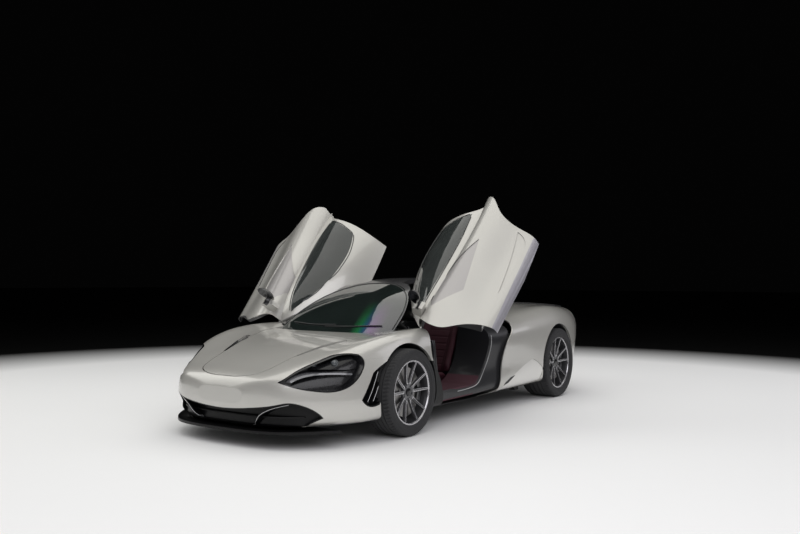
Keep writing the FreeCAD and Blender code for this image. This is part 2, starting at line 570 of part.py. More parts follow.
# Rear clamshell, bumper and their openings
TAIL = [[(0, 560), (540, 560)], [(540, 560), (720, 600)], [(720, 600), (690, 780)], [(690, 780), (0, 835)]]
BUMPER_SIDES = [[(3000, 0), (3600, 0)], [(3600, 0), (3600, 520)], [(3600, 520), (3150, 520)],
                [(3150, 520), (3000, 420)], [(3000, 420), (3000, 0)]]
DIFFUSER = [[(0, 100), (520, 100)], [(520, 100), (520, 330)], [(520, 330), (0, 330)]]
rear_half = lower_skin.common(block(-WIDE, WIDE, 1150, 3600, 0, 1100))
KICK = [[(1416, 167), (1740, 320), (2065, 428)], [(2065, 428), (2180, 385), (2285, 320)],
        [(2285, 320), (2262, 262), (2233, 199)], [(2233, 199), (1800, 172), (1416, 167)]]
kick_facets = crease_layer.common(both(side_prism(KICK, 700, WIDE)))
rear_half = cut_all(rear_half, [wells, door_spaces, low_rebate, rear_relief, front_prism(TAIL, 3400, 3600, seam),
                                tray_space, kick_facets])
piece("rear_clamshell", solids(rear_half.cut(side_prism(BUMPER_SIDES, -WIDE, WIDE, seam))))
rear_low = rear_half.common(side_prism(BUMPER_SIDES, -WIDE, WIDE))
piece("rear_bumper", solids(rear_low.cut(front_prism(DIFFUSER, 3060, 3600))))
EXHAUST_X, EXHAUST_Z, exhaust_radius = 150, 700, size("exhaust_radius")
pipe_hole = Part.makeCylinder(exhaust_radius + 0.3, 400, Vector(EXHAUST_X, lengthways(3200), EXHAUST_Z),
                              Vector(0, 1, 0))
louvres = [block(230, 560, 3300, 3600, z, z + 13) for z in (650, 676, 702, 728)]
louvres += [block(20, 560, 3300, 3600, z, z + 13) for z in (582, 608)]
grille = backing.common(front_prism(TAIL, 3400, 3600)).cut(both(pipe_hole))
piece("rear_grille", solids(cut_all(grille, [both(louvre) for louvre in louvres])))
tail_band = hull_inset(6).cut(hull_inset(wall - 2.3))
piece("tail_lamps", solids(tail_band.common(both(block(150, 640, 3400, 3600, 764, 778))), 2))

# Floor with its jack pads, and the tub
floor_skin = lower_skin.common(block(*UNDERTRAY)).cut(wells)
jack_pads = [block(670, 730, s - 40, s + 40, size("jack_pad_height"), 150) for s in (520, 2150)]
jack_pads += [mirrored(pad) for pad in jack_pads]
piece("flat_floor", solids(solids(floor_skin).fuse(jack_pads)))
tub = hull_seat.common(block(-WIDE, WIDE, 385, 1660, 0, 765))
floor_top = 149 + size("floor_thickness")
cabin = block(-size("sill_inner"), size("sill_inner"), 300, 1600, floor_top, 900)
tub = tub.cut(cabin).cut(both(side_prism(DOORWAY_SIDES, 400, WIDE, gap)))
tub = tub.cut(both(rebate.cut(hull_clear))).cut(both(block(600, WIDE, 380, 460, 690, 800)))
nose_box = block(-520, 520, 150, 386, 141, 640).common(hull_seat)
nose_box = nose_box.cut(block(-490, 490, 180, 400, floor_top, 700))
tub = tub.fuse(nose_box).cut(liner_space)
piece("tub", solids(tub))
piece("arch_liners", Part.makeCompound(sum([liner.Solids for liner in liners], [])))
piece("side_vents", Part.makeCompound(sum([vent.Solids for vent in vents], [])))


# Doors, drawn shut and placed open on their slanting hinges
LEAF = [[(492, 737), (640, 784), (800, 790), (1030, 742), (1241, 660)],
        [(1241, 660), (980, 588), (725, 562), (590, 625), (492, 737)]]
SKIRT = [[(808, 302), (1120, 338), (1440, 400)], [(1440, 400), (1400, 330), (1312, 283)],
         [(1312, 283), (1060, 280), (808, 302)]]


def door_shapes():
    border = door_prism.cut(side_prism(DOOR_SIDES, spine + flange, WIDE + 1, -flange))
    low = hull_skin.common(door_prism).cut(canopy_core).cut(border.common(hull_lip))
    high = upper_skin.common(door_prism).cut(border.common(canopy_lip))
    high = high.cut(top_prism(WINDSCREEN_SIDES, 480, 1300, gap))
    plug = side_prism(DOORWAY_SIDES, 300, WIDE).common(hull).cut(hull_inset(size("door_wall")))
    plug = plug.cut(canopy_core)
    window = side_prism(WINDOW_SIDES, 330, WIDE)
    pane = glass.common(window).cut(hull)
    body = low.fuse(high).fuse(plug).cut(side_prism(WINDOW_SIDES, 330, WIDE, seam).cut(hull))
    body = body.cut(wells).cut(block(0, 860 + gap, 300, 1800, 0, 240))
    body = body.cut(crease_layer.common(side_prism(LEAF, 600, WIDE).fuse(side_prism(SKIRT, 600, WIDE))))
    body = solids(body).fuse(knuckles).cut(notch)
    return solids(body), solids(pane)


door_shape, pane_shape = door_shapes()
housing = Part.makeSphere(1.0)
stretch = FreeCAD.Matrix()
stretch.scale(95, 70, 55)
housing = housing.transformGeometry(stretch)
housing = housing.common(Part.makeBox(200, 95, 120, Vector(-100, -70, -60)))
housing.translate(Vector(965, lengthways(430), 865))
stalk = side_prism([[(400, 770), (470, 770)], [(470, 770), (460, 850)], [(460, 850), (410, 860)],
                    [(410, 860), (400, 770)]], 800, 930)
mirror_shape = housing.fuse(stalk).cut(hull_inset(-seam)).cut(canopy_seat)

left_open = Placement(Vector(), Rotation(hinge_line, -size("door_open_angle")), hinge_low)
right_line = Vector(-hinge_line.x, hinge_line.y, hinge_line.z)
right_low = Vector(-hinge_low.x, hinge_low.y, hinge_low.z)
right_open = Placement(Vector(), Rotation(right_line, size("door_open_angle")), right_low)
for label, shape in (("door", door_shape), ("door_glass", pane_shape), ("mirror", solids(mirror_shape))):
    piece(f"{label}_left", shape, left_open)
    piece(f"{label}_right", mirrored(shape), right_open)

# Subframes and suspension
rail, rail_out = size("rail_inner"), size("rail_inner") + size("rail_width")
spread, reach = size("arm_spread"), size("arm_height")
hub_front, hub_rear = size("front_tyre_radius"), size("rear_tyre_radius")
frames = [block(rail, rail_out, -780, 149.7, 250, 330), block(rail, rail_out, -spread - 30, spread + 30, 165, 500),
          block(0, rail_out, -spread - 30, spread + 30, 165, 215),
          block(0, rail_out + 60, -840, -780, 240, 340)]
rear_frames = [block(rail, rail_out, 1660.3, 3150, 250, 330),
               block(rail, rail_out, 2670 - spread - 30, 2670 + spread + 30, 165, 520),
               block(0, rail_out, 2670 - spread - 30, 2670 + spread + 30, 165, 215),
               block(size("engine_width") / 2 + 0.3, rail + 1, 1900, 2100, 250, 330)]
frame_shapes = []
for members in (frames, rear_frames):
    half = members[0].fuse(members[1:])
    frame_shapes.append(half.fuse(mirrored(half)).removeSplitter())
piece("subframes", Part.makeCompound(frame_shapes))


def wishbone(y, eye_x, height, pin):
    """One A-shaped arm from the frame tower to its upright's pin."""
    arm = Part.makeCylinder(pin + 14, 20, Vector(eye_x, y, height - 10))
    for side in (-1, 1):
        foot = y + side * spread
        corners = [Vector(eye_x, y - 14, height - 9), Vector(eye_x, y + 14, height - 9),
                   Vector(rail_out + 0.3, foot + 16, height - 9), Vector(rail_out + 0.3, foot - 16, height - 9)]
        arm = arm.fuse(Part.Face(Part.makePolygon(corners + corners[:1])).extrude(Vector(0, 0, 18)))
    eye = Part.makeCylinder(pin + size("bearing_clearance"), 40, Vector(eye_x, y, height - 20))
    return arm.removeSplitter().cut(eye)


front_x, rear_x = size("front_track") / 2, size("rear_track") / 2
kingpin_x, rear_pin_x = front_x - size("kingpin_inset"), rear_x - size("kingpin_inset") - 20
pin = size("kingpin_radius")
arms = [wishbone(y, x, height, pin) for y, x, height in (
    (FRONT_AXLE, kingpin_x, hub_front + reach), (FRONT_AXLE, kingpin_x, hub_front - reach),
    (REAR_AXLE, rear_pin_x, hub_rear + reach), (REAR_AXLE, rear_pin_x, hub_rear - reach))]
piece("wishbones", Part.makeCompound(arms + [mirrored(a) for a in arms]))


# Wheels, brake discs and uprights
def upright(x, y, height, width, pin_x, disc_radius):
    """Upright with its spindle, two pins for the arms and the brake caliper."""
    half = width * 0.43
    face, back = x + half - 36, x + half - 58
    body = Part.makeCylinder(size("spindle_radius"), face - pin_x - 4, Vector(pin_x, y, height), Vector(1, 0, 0))
    body = body.fuse([Part.makeBox(34, 90, 2 * reach - 30, Vector(pin_x - 17, y - 45, height - reach + 15)),
                      Part.makeCylinder(pin, 2 * reach + 20, Vector(pin_x, y, height - reach - 10))])
    outer, inner = back + 2, back - size("disc_thickness") - 8
    low, high = disc_radius - 42, disc_radius + 6
    jaw = turned([(inner - 16, low), (inner + 1, low), (inner + 1, high), (outer - 1, high), (outer - 1, low),
                  (outer + 8, low), (outer + 8, high), (outer, high + 12), (inner - 8, high + 12),
                  (inner - 16, high)], 54)
    jaw.rotate(Vector(), Vector(1, 0, 0), -27)
    jaw.translate(Vector(0, y, height))
    bridge = Part.makeBox(inner - 1 - pin_x, low + 12, 60, Vector(pin_x, y, height - 30))
    return body.fuse([jaw, bridge]).removeSplitter()


def turned(profile, angle=360):
    """Ring, or part of one, turned on x from a profile of (x, radius) points."""
    points = [Vector(x, r, 0) for x, r in profile]
    return Part.Face(Part.makePolygon(points + points[:1])).revolve(Vector(), Vector(1, 0, 0), angle)


def tyre_shape(radius, width, rim_radius):
    half, shoulder = width / 2, 24
    return turned([(-half * 0.86, rim_radius), (-half, rim_radius + (radius - rim_radius) * 0.45),
                   (-half + 5, radius - shoulder), (-half + shoulder + 8, radius), (half - shoulder - 8, radius),
                   (half - 5, radius - shoulder), (half, rim_radius + (radius - rim_radius) * 0.45),
                   (half * 0.86, rim_radius)])


def rim_shape(width, rim_radius):
    """Barrel and hub joined by a five-pointed star of twin spokes, cut from one dished disc."""
    half, bore = width * 0.43, size("spindle_radius") + size("bearing_clearance")
    bead = rim_radius - 0.3
    barrel = turned([(-half, bead), (half, bead), (half, bead - 9), (half - 8, bead - 14), (half - 30, bead - 16),
                     (4 - half, bead - 12), (-half, bead - 9)])
    hub = turned([(half - 58, bore), (half - 36, bore), (half - 36, 58), (half - 42, 66), (half - 58, 70)])
    face = [(half - 34, 40), (half - 31, 90), (half - 22, 150), (half - 11, bead - 40), (half - 5, bead - 12)]
    back = [(half - 26, bead - 12), (half - 38, bead - 50), (half - 46, 140), (half - 50, 100), (half - 54, 40)]

    def star(trim, root):
        """Prisms of the ten spokes, narrower by trim on each flank."""
        arms = []
        for n in range(5):
            for lean in (-1, 1):
                near, far = lean * math.radians(11), lean * math.radians(15.5)
                corners = []
                for radius, turn, span in ((root, near, trim - 12), (root, near, 12 - trim),
                                           (bead - 10 - trim, far, 7.5 - trim), (bead - 10 - trim, far, trim - 7.5)):
                    corners.append(Vector(half - 80, radius * math.sin(turn) + span, radius * math.cos(turn)))
                arm = Part.Face(Part.makePolygon(corners + corners[:1])).extrude(Vector(90, 0, 0))
                arm.rotate(Vector(), Vector(1, 0, 0), 72 * n)
                arms.append(arm)
        return arms[0].fuse(arms[1:])

    spokes = turned(face + back).common(star(0, 42))
    sunk = turned(face + [(x - 3, radius) for x, radius in reversed(face)]).common(star(4, 72))
    return barrel.fuse([hub, spokes]).cut(sunk).removeSplitter()


def disc_shape(width, radius):
    back = width * 0.43 - 58 - 0.3
    bore, thick = size("spindle_radius") + 3, size("disc_thickness")
    return turned([(back - 12, bore), (back, bore), (back, 78), (back - 4, 80), (back - 4, radius),
                   (back - thick, radius), (back - thick, 110), (back - 12, 100)])


CORNERS = [("front", front_x, FRONT_AXLE, hub_front, size("front_tyre_width"), size("front_rim_radius"),
            size("front_disc_radius")),
           ("rear", rear_x, REAR_AXLE, hub_rear, size("rear_tyre_width"), size("rear_rim_radius"),
            size("rear_disc_radius"))]
for end, x, y, radius, width, rim_radius, disc_radius in CORNERS:
    wheel = {"tyre": tyre_shape(radius, width, rim_radius), "rim": rim_shape(width, rim_radius),
             "disc": disc_shape(width, disc_radius)}
    for name, shape in wheel.items():
        shape.translate(Vector(x, y, radius))
        piece(f"{end}_{name}_left", shape)
        piece(f"{end}_{name}_right", mirrored(shape))
knuckle = upright(front_x, FRONT_AXLE, hub_front, size("front_tyre_width"), kingpin_x, size("front_disc_radius"))
piece("knuckle_left", knuckle)
piece("knuckle_right", mirrored(knuckle))
piece("rear_uprights", both(upright(rear_x, REAR_AXLE, hub_rear, size("rear_tyre_width"), rear_pin_x,
                                    size("rear_disc_radius"))))

# Cabin
half_seat, seat_x = size("seat_width") / 2, size("seat_place")
SEAT = [(800, floor_top + 0.3), (1240, floor_top + 0.3), (1500, 800), (1430, 840), (1180, 340), (820, 350)]
seat = side_prism([list(side) for side in zip(SEAT, SEAT[1:] + SEAT[:1])], seat_x - half_seat, seat_x + half_seat)
piece("seats", both(seat))
DASH = [[(430, 500), (520, 505), (570, 530)], [(570, 530), (602, 575), (606, 620), (585, 660), (540, 680)],
        [(540, 680), (430, 680)], [(430, 680), (430, 500)]]
dash = side_prism(DASH, 0.3 - size("sill_inner"), size("sill_inner") - 0.3)
HOOD = [[(520, 660), (640, 668)], [(640, 668), (648, 700), (600, 718), (540, 716), (520, 700)],
        [(520, 700), (520, 660)]]
hood = side_prism(HOOD, seat_x - 150, seat_x + 150)
dash = dash.fuse([hood, block(-110, 110, 520, 625, 540, 640)])
column_tilt = math.radians(22)
column_line = Vector(0, -math.cos(column_tilt), -math.sin(column_tilt))
wheel_centre = Vector(seat_x, lengthways(720), 620)
column = Part.makeCylinder(size("column_radius"), 170, wheel_centre, column_line)
piece("dashboard", dash.fuse(column).removeSplitter())
CONSOLE = [[(400, floor_top + 0.3), (1400, floor_top + 0.3)], [(1400, floor_top + 0.3), (1400, 380)],
           [(1400, 380), (1180, 372), (980, 350), (820, 372), (640, 430), (520, 480)], [(520, 480), (400, 480)],
           [(400, 480), (400, floor_top + 0.3)]]
piece("centre_console", side_prism(CONSOLE, -90, 90))
grip = Part.makeTorus(size("steering_wheel_radius"), size("steering_grip_radius"), wheel_centre, column_line)
bar = Part.makeBox(2 * size("steering_wheel_radius") - 4, 24, 16,
                   wheel_centre + Vector(-size("steering_wheel_radius") + 2, -12, -8))
boss = Part.makeCylinder(42, 50, wheel_centre - column_line * 25, column_line)
hollow = Part.makeCylinder(size("column_radius") + size("bearing_clearance"), 60, wheel_centre, column_line)
piece("steering_wheel", grip.fuse([bar, boss]).cut(hollow).removeSplitter())

# Engine mass and the tail's fittings
engine = driven("Part::Box", "engine", Length="sizes.engine_width", Width="sizes.engine_length",
                Height="sizes.engine_height")
engine.Placement = Placement(Vector(-size("engine_width") / 2, lengthways(size("engine_place")),
                                    size("engine_floor")), Rotation())
NODES.append(engine)
wing = hull_inset(-14).cut(hull_inset(-0.3)).common(block(-620, 620, 3300, 3470, 820, 1000))
piece("rear_wing", solids(wing))
pipe = Part.makeCylinder(exhaust_radius, 160, Vector(EXHAUST_X, lengthways(3300), EXHAUST_Z), Vector(0, 1, 0))
throat = Part.makeCylinder(exhaust_radius - 4, 140, Vector(EXHAUST_X, lengthways(3300) + 25, EXHAUST_Z),
                           Vector(0, 1, 0))
piece("exhausts", both(pipe.cut(throat)))

# Diffuser: a panel set into the tail's opening, with fins that hang from it
diffuser = hull_inset(size("crease_depth")).cut(hull_inset(wall)).common(block(-519.7, 519.7, 3060.3, 3470, 100, 329))
fin_layer = hull_inset(-34).cut(hull_inset(size("crease_depth") + 4))
fins = [fin_layer.common(block(x - 4, x + 4, 3100, 3480, 80, 320)) for x in (-390, -195, 195, 390)]
piece("diffuser", solids(diffuser.fuse(fins)))

doc.recompute()
os.makedirs("parts", exist_ok=True)
for feature in NODES:
    shape = feature.Shape
    if shape.isNull() or not shape.isValid() or "Invalid" in feature.State or not shape.Solids:
        raise RuntimeError(f"{feature.Label} failed: {feature.State}")
    shape.exportStep(f"parts/{feature.Label}.step")
    box = shape.BoundBox
    print(feature.Label, len(shape.Solids), round(shape.Volume / 1e6, 2), "litres",
          [round(v) for v in (box.XMin, box.XMax, box.YMin, box.YMax, box.ZMin, box.ZMax)])
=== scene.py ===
import math

import bpy
from mathutils import Matrix, Vector


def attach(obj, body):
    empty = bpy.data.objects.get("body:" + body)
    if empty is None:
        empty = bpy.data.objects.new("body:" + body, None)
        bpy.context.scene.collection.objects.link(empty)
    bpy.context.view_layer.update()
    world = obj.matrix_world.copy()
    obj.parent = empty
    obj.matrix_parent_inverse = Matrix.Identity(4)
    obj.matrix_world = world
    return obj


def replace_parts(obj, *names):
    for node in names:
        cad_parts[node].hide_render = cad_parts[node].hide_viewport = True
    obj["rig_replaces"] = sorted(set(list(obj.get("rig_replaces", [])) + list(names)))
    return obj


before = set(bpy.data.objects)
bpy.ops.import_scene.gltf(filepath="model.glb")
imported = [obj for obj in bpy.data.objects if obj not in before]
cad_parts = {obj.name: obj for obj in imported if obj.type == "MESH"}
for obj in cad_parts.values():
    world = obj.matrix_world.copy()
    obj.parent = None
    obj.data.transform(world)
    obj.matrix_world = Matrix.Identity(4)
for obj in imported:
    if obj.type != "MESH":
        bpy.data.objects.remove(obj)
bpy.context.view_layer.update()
bpy.ops.object.select_all(action="DESELECT")

# Body panels: carbon-fibre and aluminium skins, sprayed with a pale warm silver that carries fine
# metal flakes and baked under a glossy clear coat. They are bonded and bolted to the tub.


class Value:
    """A socket in a Python expression: arithmetic on it adds Math nodes."""

    def __init__(self, finish, socket):
        self.finish, self.socket = finish, socket

    def math(self, operation, *operands):
        node = self.finish.add("ShaderNodeMath", {"operation": operation}, dict(enumerate(operands)))
        return Value(self.finish, node.outputs[0])

    def __add__(self, other):
        return self.math("ADD", self, other)

    def __sub__(self, other):
        return self.math("SUBTRACT", self, other)

    def __rsub__(self, other):
        return self.math("SUBTRACT", other, self)

    def __mul__(self, other):
        return self.math("MULTIPLY", self, other)

    def __truediv__(self, other):
        return self.math("DIVIDE", self, other)

    def __lt__(self, other):
        return self.math("LESS_THAN", self, other)

    def __gt__(self, other):
        return self.math("GREATER_THAN", self, other)

    def __or__(self, other):
        return self.math("MAXIMUM", self, other)

    def __abs__(self):
        return self.math("ABSOLUTE", self)

    __radd__, __rmul__ = __add__, __mul__


class Finish:
    """A material being made, whose nodes all come from its one method add."""

    def __init__(self, name, **shader):
        self.material = bpy.data.materials.new(name)
        self.material.use_nodes = True
        self.tree = self.material.node_tree
        self.shader = self.tree.nodes["Principled BSDF"]
        self.put(self.shader, {key.replace("_", " "): value for key, value in shader.items()})

    def put(self, node, values):
        for key, value in values.items():
            if isinstance(value, Value):
                self.tree.links.new(value.socket, node.inputs[key])
            elif isinstance(value, bpy.types.NodeSocket):
                self.tree.links.new(value, node.inputs[key])
            else:
                node.inputs[key].default_value = value

    def add(self, kind, settings=None, values=None):
        node = self.tree.nodes.new(kind)
        for key, value in (settings or {}).items():
            if key == "stops":
                ramp = node.color_ramp
                for place, colour in value[2:]:
                    ramp.elements.new(place).color = colour
                for element, (place, colour) in zip(ramp.elements, sorted(value)):
                    element.position, element.color = place, colour
            else:
                setattr(node, key, value)
        self.put(node, values or {})
        return node

    def place(self):
        """The place on the piece, in metres."""
        return self.add("ShaderNodeTexCoord").outputs["Object"]

    def axes(self, vector=None):
        """The three numbers of a vector, by default of the place on the piece."""
        parts = self.add("ShaderNodeSeparateXYZ", None, {0: vector or self.place()}).outputs
        return [Value(self, part) for part in parts]

    def noise(self, scale, detail=2.0):
        node = self.add("ShaderNodeTexNoise", None,
                        {"Vector": self.place(), "Scale": scale, "Detail": detail})
        return Value(self, node.outputs["Fac"])

    def mixed(self, factor, first, second):
        node = self.add("ShaderNodeMix", {"data_type": "RGBA"}, {"Factor": factor, 6: first, 7: second})
        return node.outputs[2]

    def bump(self, height, distance, strength):
        node = self.add("ShaderNodeBump", None,
                        {"Height": height, "Distance": distance, "Strength": strength})
        self.put(self.shader, {"Normal": node.outputs[0]})

    def surface(self, colour, rough, metal=0.0, coat=0.0):
        """The finish that the piece has where nothing lies over it."""
        self.layers = [colour, rough, metal, coat]
        return self

    def over(self, mask, colour, rough, metal=0.0, coat=0.0):
        """Another finish where the mask is 1."""
        self.layers = [self.mixed(mask, self.layers[0], colour)] + [
            old if old is new else old + mask * (new - old)
            for old, new in zip(self.layers[1:], (rough, metal, coat))]

    def done(self):
        names = ("Base Color", "Roughness", "Metallic", "Coat Weight")
        self.put(self.shader, dict(zip(names, self.layers)))
        return self.material


def painted(name, light=(0.60, 0.59, 0.55, 1), dark=(0.43, 0.42, 0.40, 1)):
    """Metallic clear-coated paint: flakes of two shades, with the slightest clouding."""
    finish = Finish(name, Coat_Roughness=0.03)
    flakes = finish.noise(1800.0, 1.0)
    cloud = finish.noise(3.0, 1.0)
    colour = finish.mixed(flakes * 0.7 + cloud * 0.3, dark, light)
    return finish.surface(colour, 0.3 + flakes * 0.14, 0.42, 1.0)


def dress(material, *names):
    """Gives CAD nodes a finish."""
    for name in names:
        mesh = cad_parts[name].data
        mesh.materials.clear()
        mesh.materials.append(material)


dress(painted("silver_paint").done(), "bonnet", "rear_bumper", "rear_deck")

# Nose: the bumper and fenders are painted like the other panels, with a black scoop along each side
# of the bonnet, and the bumper's lowest strip under the mouth is left black.


def drawn(s):
    """The car's y in metres of a place in millimetres behind the front axle."""
    return (s - 1226.5) / 1000


def inside(first, second, corners):
    """1 inside a convex outline of corners in order, in two coordinates."""
    turn = sum(a[0] * b[1] - a[1] * b[0] for a, b in zip(corners, corners[1:] + corners[:1]))
    mask = 1.0
    for (a, b), (c, d) in zip(corners, corners[1:] + corners[:1]):
        side = (second - b) * (c - a) - (first - a) * (d - b)
        mask = (side * math.copysign(1.0, turn) > 0.0) * mask
    return mask


BLACK = (0.012, 0.012, 0.013, 1)
SCOOP_INNER = [(352, -640), (376, -500), (420, -380), (500, -240)]
SCOOP_OUTER = [(378, -655), (425, -525), (478, -400), (532, -262)]
CHIN_TOP, CHIN_REACH = 0.151, 0.66
for part in ("front_bumper", "front_fenders"):
    nose_paint = painted(f"{part}_paint")
    x, y, z = nose_paint.axes()
    out = abs(x)
    for n in range(len(SCOOP_INNER) - 1):
        corners = [SCOOP_INNER[n], SCOOP_OUTER[n], SCOOP_OUTER[n + 1], SCOOP_INNER[n + 1]]
        from_above = [(u / 1000, drawn(s)) for u, s in corners]
        nose_paint.over(inside(out, y, from_above), BLACK, 0.3, 0.0, 0.6)
    nose_paint.over((z < CHIN_TOP) * (out < CHIN_REACH), BLACK, 0.4, 0.0, 0.2)
    dress(nose_paint.done(), part)

# Rear quarters: the painted panel behind each door, bolted on like the others, has a kicked-up facet
# low down that is painted lighter, as painted light for how it faces the lamps, and a black slot at the
# facet's front.


def from_side(points):
    """The (y, z) in metres of points in millimetres behind the front axle and above the ground."""
    return [(drawn(s), h / 1000) for s, h in points]


KICK = [(1416, 167), (1800, 172), (2233, 199), (2285, 320), (2180, 385), (2065, 428), (1740, 320)]
SLOT = [(1507, 222), (1600, 238), (1735, 300), (1640, 290), (1540, 250)]
FLANK = 0.86
quarter_paint = painted("quarter_paint")
x, y, z = quarter_paint.axes()
# Painted light: the kicked-up facet is made lighter for how it faces the light.
painted_light_kick = inside(y, z, from_side(KICK)) * (abs(x) > FLANK)
quarter_paint.over(painted_light_kick, (0.68, 0.67, 0.64, 1), 0.36, 0.3, 1.0)
slot_mask = inside(y, z, from_side(SLOT)) * (abs(x) > FLANK)
quarter_paint.over(slot_mask, BLACK, 0.45)
dress(quarter_paint.done(), "rear_clamshell")

# Doors: each opens upwards and forwards on one slanting hinge, and its colours are drawn as it is
# shut. Its skin is painted, with painted shade darkening the leaf below the window and the skirt along
# its foot, and its inner side is moulded black trim with a plum leather panel.
SIDES = (("left", 1), ("right", -1))
HINGE_PLACE, HINGE_LINE = (0.68, drawn(430), 0.85), (0.41, 0.6, 0.33)
SWING = math.radians(77)
OPENED = {}
for side, sign in SIDES:
    low = Vector((sign * HINGE_PLACE[0], *HINGE_PLACE[1:]))
    line = Vector((-sign * HINGE_LINE[0], *HINGE_LINE[1:])).normalized()
    turn = Matrix.Rotation(-sign * SWING, 4, line)
    OPENED[side] = Matrix.Translation(low) @ turn @ Matrix.Translation(-low)


def as_shut(finish, side):
    """The place on a piece of the door, as it is when the door is shut."""
    shut = OPENED[side].inverted()
    place = finish.add("ShaderNodeMapping", None, {
        "Vector": finish.place(), "Location": shut.to_translation(), "Rotation": shut.to_euler()})
    return finish.axes(place.outputs[0])


def within(value, low, high):
    """1 between two limits."""
    return (value > low) * (value < high)


LEAF = [(492, 737), (600, 780), (800, 790), (1030, 742), (1241, 660), (725, 562)]
LEAF_REACH = 0.6
SKIRT_TOP, SKIRT_RISE, SKIRT_FRONT = 0.215, 0.045, drawn(500)
DOOR_MIDDLE = 0.35
LINING_TOP, LINING_REACH = 0.74, 0.852
PANEL_HEIGHT, PANEL_LENGTH, PANEL_REACH = (0.40, 0.66), (drawn(560), drawn(1250)), 0.84
for side, sign in SIDES:
    door_paint = painted(f"door_paint_{side}")
    x, y, z = as_shut(door_paint, side)
    normal = door_paint.add("ShaderNodeTexCoord").outputs["Normal"]
    facing = door_paint.add("ShaderNodeMapping", {"vector_type": "VECTOR"}, {
        "Vector": normal, "Rotation": OPENED[side].inverted().to_euler()})
    across, _, upwards = door_paint.axes(facing.outputs[0])
    # Painted shade: the leaf below the window is darkened for how its slanted face takes the light.
    shaded_leaf = inside(y, z, from_side(LEAF)) * (x * sign > LEAF_REACH)
    door_paint.over(shaded_leaf, (0.40, 0.385, 0.38, 1), 0.4, 0.42, 0.8)
    # Painted shade: the skirt faces downwards and is darkened where less light reaches it.
    shaded_skirt = z - (y - SKIRT_FRONT) * SKIRT_RISE < SKIRT_TOP
    door_paint.over(shaded_skirt, (0.36, 0.35, 0.385, 1), 0.34, 0.42, 1.0)
    outward = across * x + upwards * (z - DOOR_MIDDLE)
    lining = 1 - (outward > 0.05) | ((z < LINING_TOP) * (x * sign < LINING_REACH))
    door_paint.over(lining, (0.014, 0.014, 0.015, 1), 0.55)
    plum_panel = within(z, *PANEL_HEIGHT) * within(y, *PANEL_LENGTH) * (x * sign < PANEL_REACH)
    door_paint.over(lining * plum_panel, (0.085, 0.02, 0.035, 1), 0.5)
    dress(door_paint.done(), f"door_{side}")

# Structure and trim: the tub, roof frame, floor and diffuser are moulded carbon fibre under clear
# lacquer, and the vents, grilles and dashboard are grained black plastic, clipped in place.


def shade(colour, factor):
    """The same colour, lighter or darker."""
    return tuple(part * factor for part in colour[:3]) + (1,)


def carbon(name, coat=0.7, shine=0.5):
    """Woven fibre under lacquer, as fine squares of two shades."""
    finish = Finish(name, Coat_Roughness=0.08, Specular_IOR_Level=shine)
    weave = finish.add("ShaderNodeTexChecker", None,
                       {"Vector": finish.place(), "Scale": 260.0,
                        "Color1": (0.012, 0.012, 0.014, 1), "Color2": (0.024, 0.024, 0.027, 1)})
    return finish.surface(weave.outputs["Color"], 0.28 + finish.noise(40.0) * 0.15, 0.0, coat)


def moulded(name, colour, grain=900.0, rough=0.5, coat=0.0, shine=0.5):
    """Moulded plastic or rubber with a fine leather-like grain."""
    finish = Finish(name, Coat_Roughness=0.05, Specular_IOR_Level=shine)
    grains = finish.noise(grain, 3.0)
    finish.bump(grains, 0.0004, 0.6)
    mottled = finish.mixed(grains, colour, shade(colour, 1.35))
    return finish.surface(mottled, rough + grains * 0.2, 0.0, coat)


black_weave = carbon("carbon_weave").done()
dress(black_weave, "roof_frame", "flat_floor", "diffuser", "rear_wing")
black_plastic = moulded("black_plastic", BLACK).done()
dress(black_plastic, "arch_liners", "cowl", "rear_grille", "dashboard", "centre_console")
gloss_black = moulded("gloss_black", (0.007, 0.007, 0.008, 1), 60.0, 0.15, 0.35, 0.3).done()
dress(gloss_black, "headlamps")
vent_black = moulded("vent_black", (0.004, 0.004, 0.0045, 1), 80.0, 0.3, 0.08, 0.2).done()
dress(vent_black, "front_intake", "side_vents")

# The tub's sills are trimmed in plum leather inside the doorway's seal, which leans back as it rises.
SILL_HEIGHT, SILL_REACH = (0.17, 0.42), (0.45, 0.885)
SILL_FRONT, SILL_BACK, SILL_MIDDLE, SILL_LEAN = drawn(470), drawn(1088), 0.285, 0.85
tub_finish = carbon("tub_weave", 0.15, 0.3)
x, y, z = tub_finish.axes()
sill = within(z, *SILL_HEIGHT) * within(abs(x), *SILL_REACH) * (y > SILL_FRONT)
sill = sill * (y - (z - SILL_MIDDLE) * SILL_LEAN < SILL_BACK)
tub_finish.over(sill, (0.075, 0.024, 0.036, 1), 0.6)
dress(tub_finish.done(), "tub")

# Glass: dark tinted laminated windscreen and side panes, bonded to their frames. Faint rainbow bands are
# painted into the windscreen near its lower corner, a painted sheen for the colours that strained
# laminated glass shows in reflected light.


def tinted(name, colour, alpha):
    """Tinted pane that shows the cabin dimly and mirrors the studio."""
    finish = Finish(name, Coat_Roughness=0.02, Alpha=alpha, IOR=1.5)
    haze = finish.noise(6.0)
    return finish.surface(finish.mixed(haze, colour, shade(colour, 1.5)), 0.03, 0.0, 1.0)


side_glass = tinted("side_glass", (0.03, 0.034, 0.033, 1), 0.7)
dress(side_glass.done(), "door_glass_left", "door_glass_right", "rear_screen")
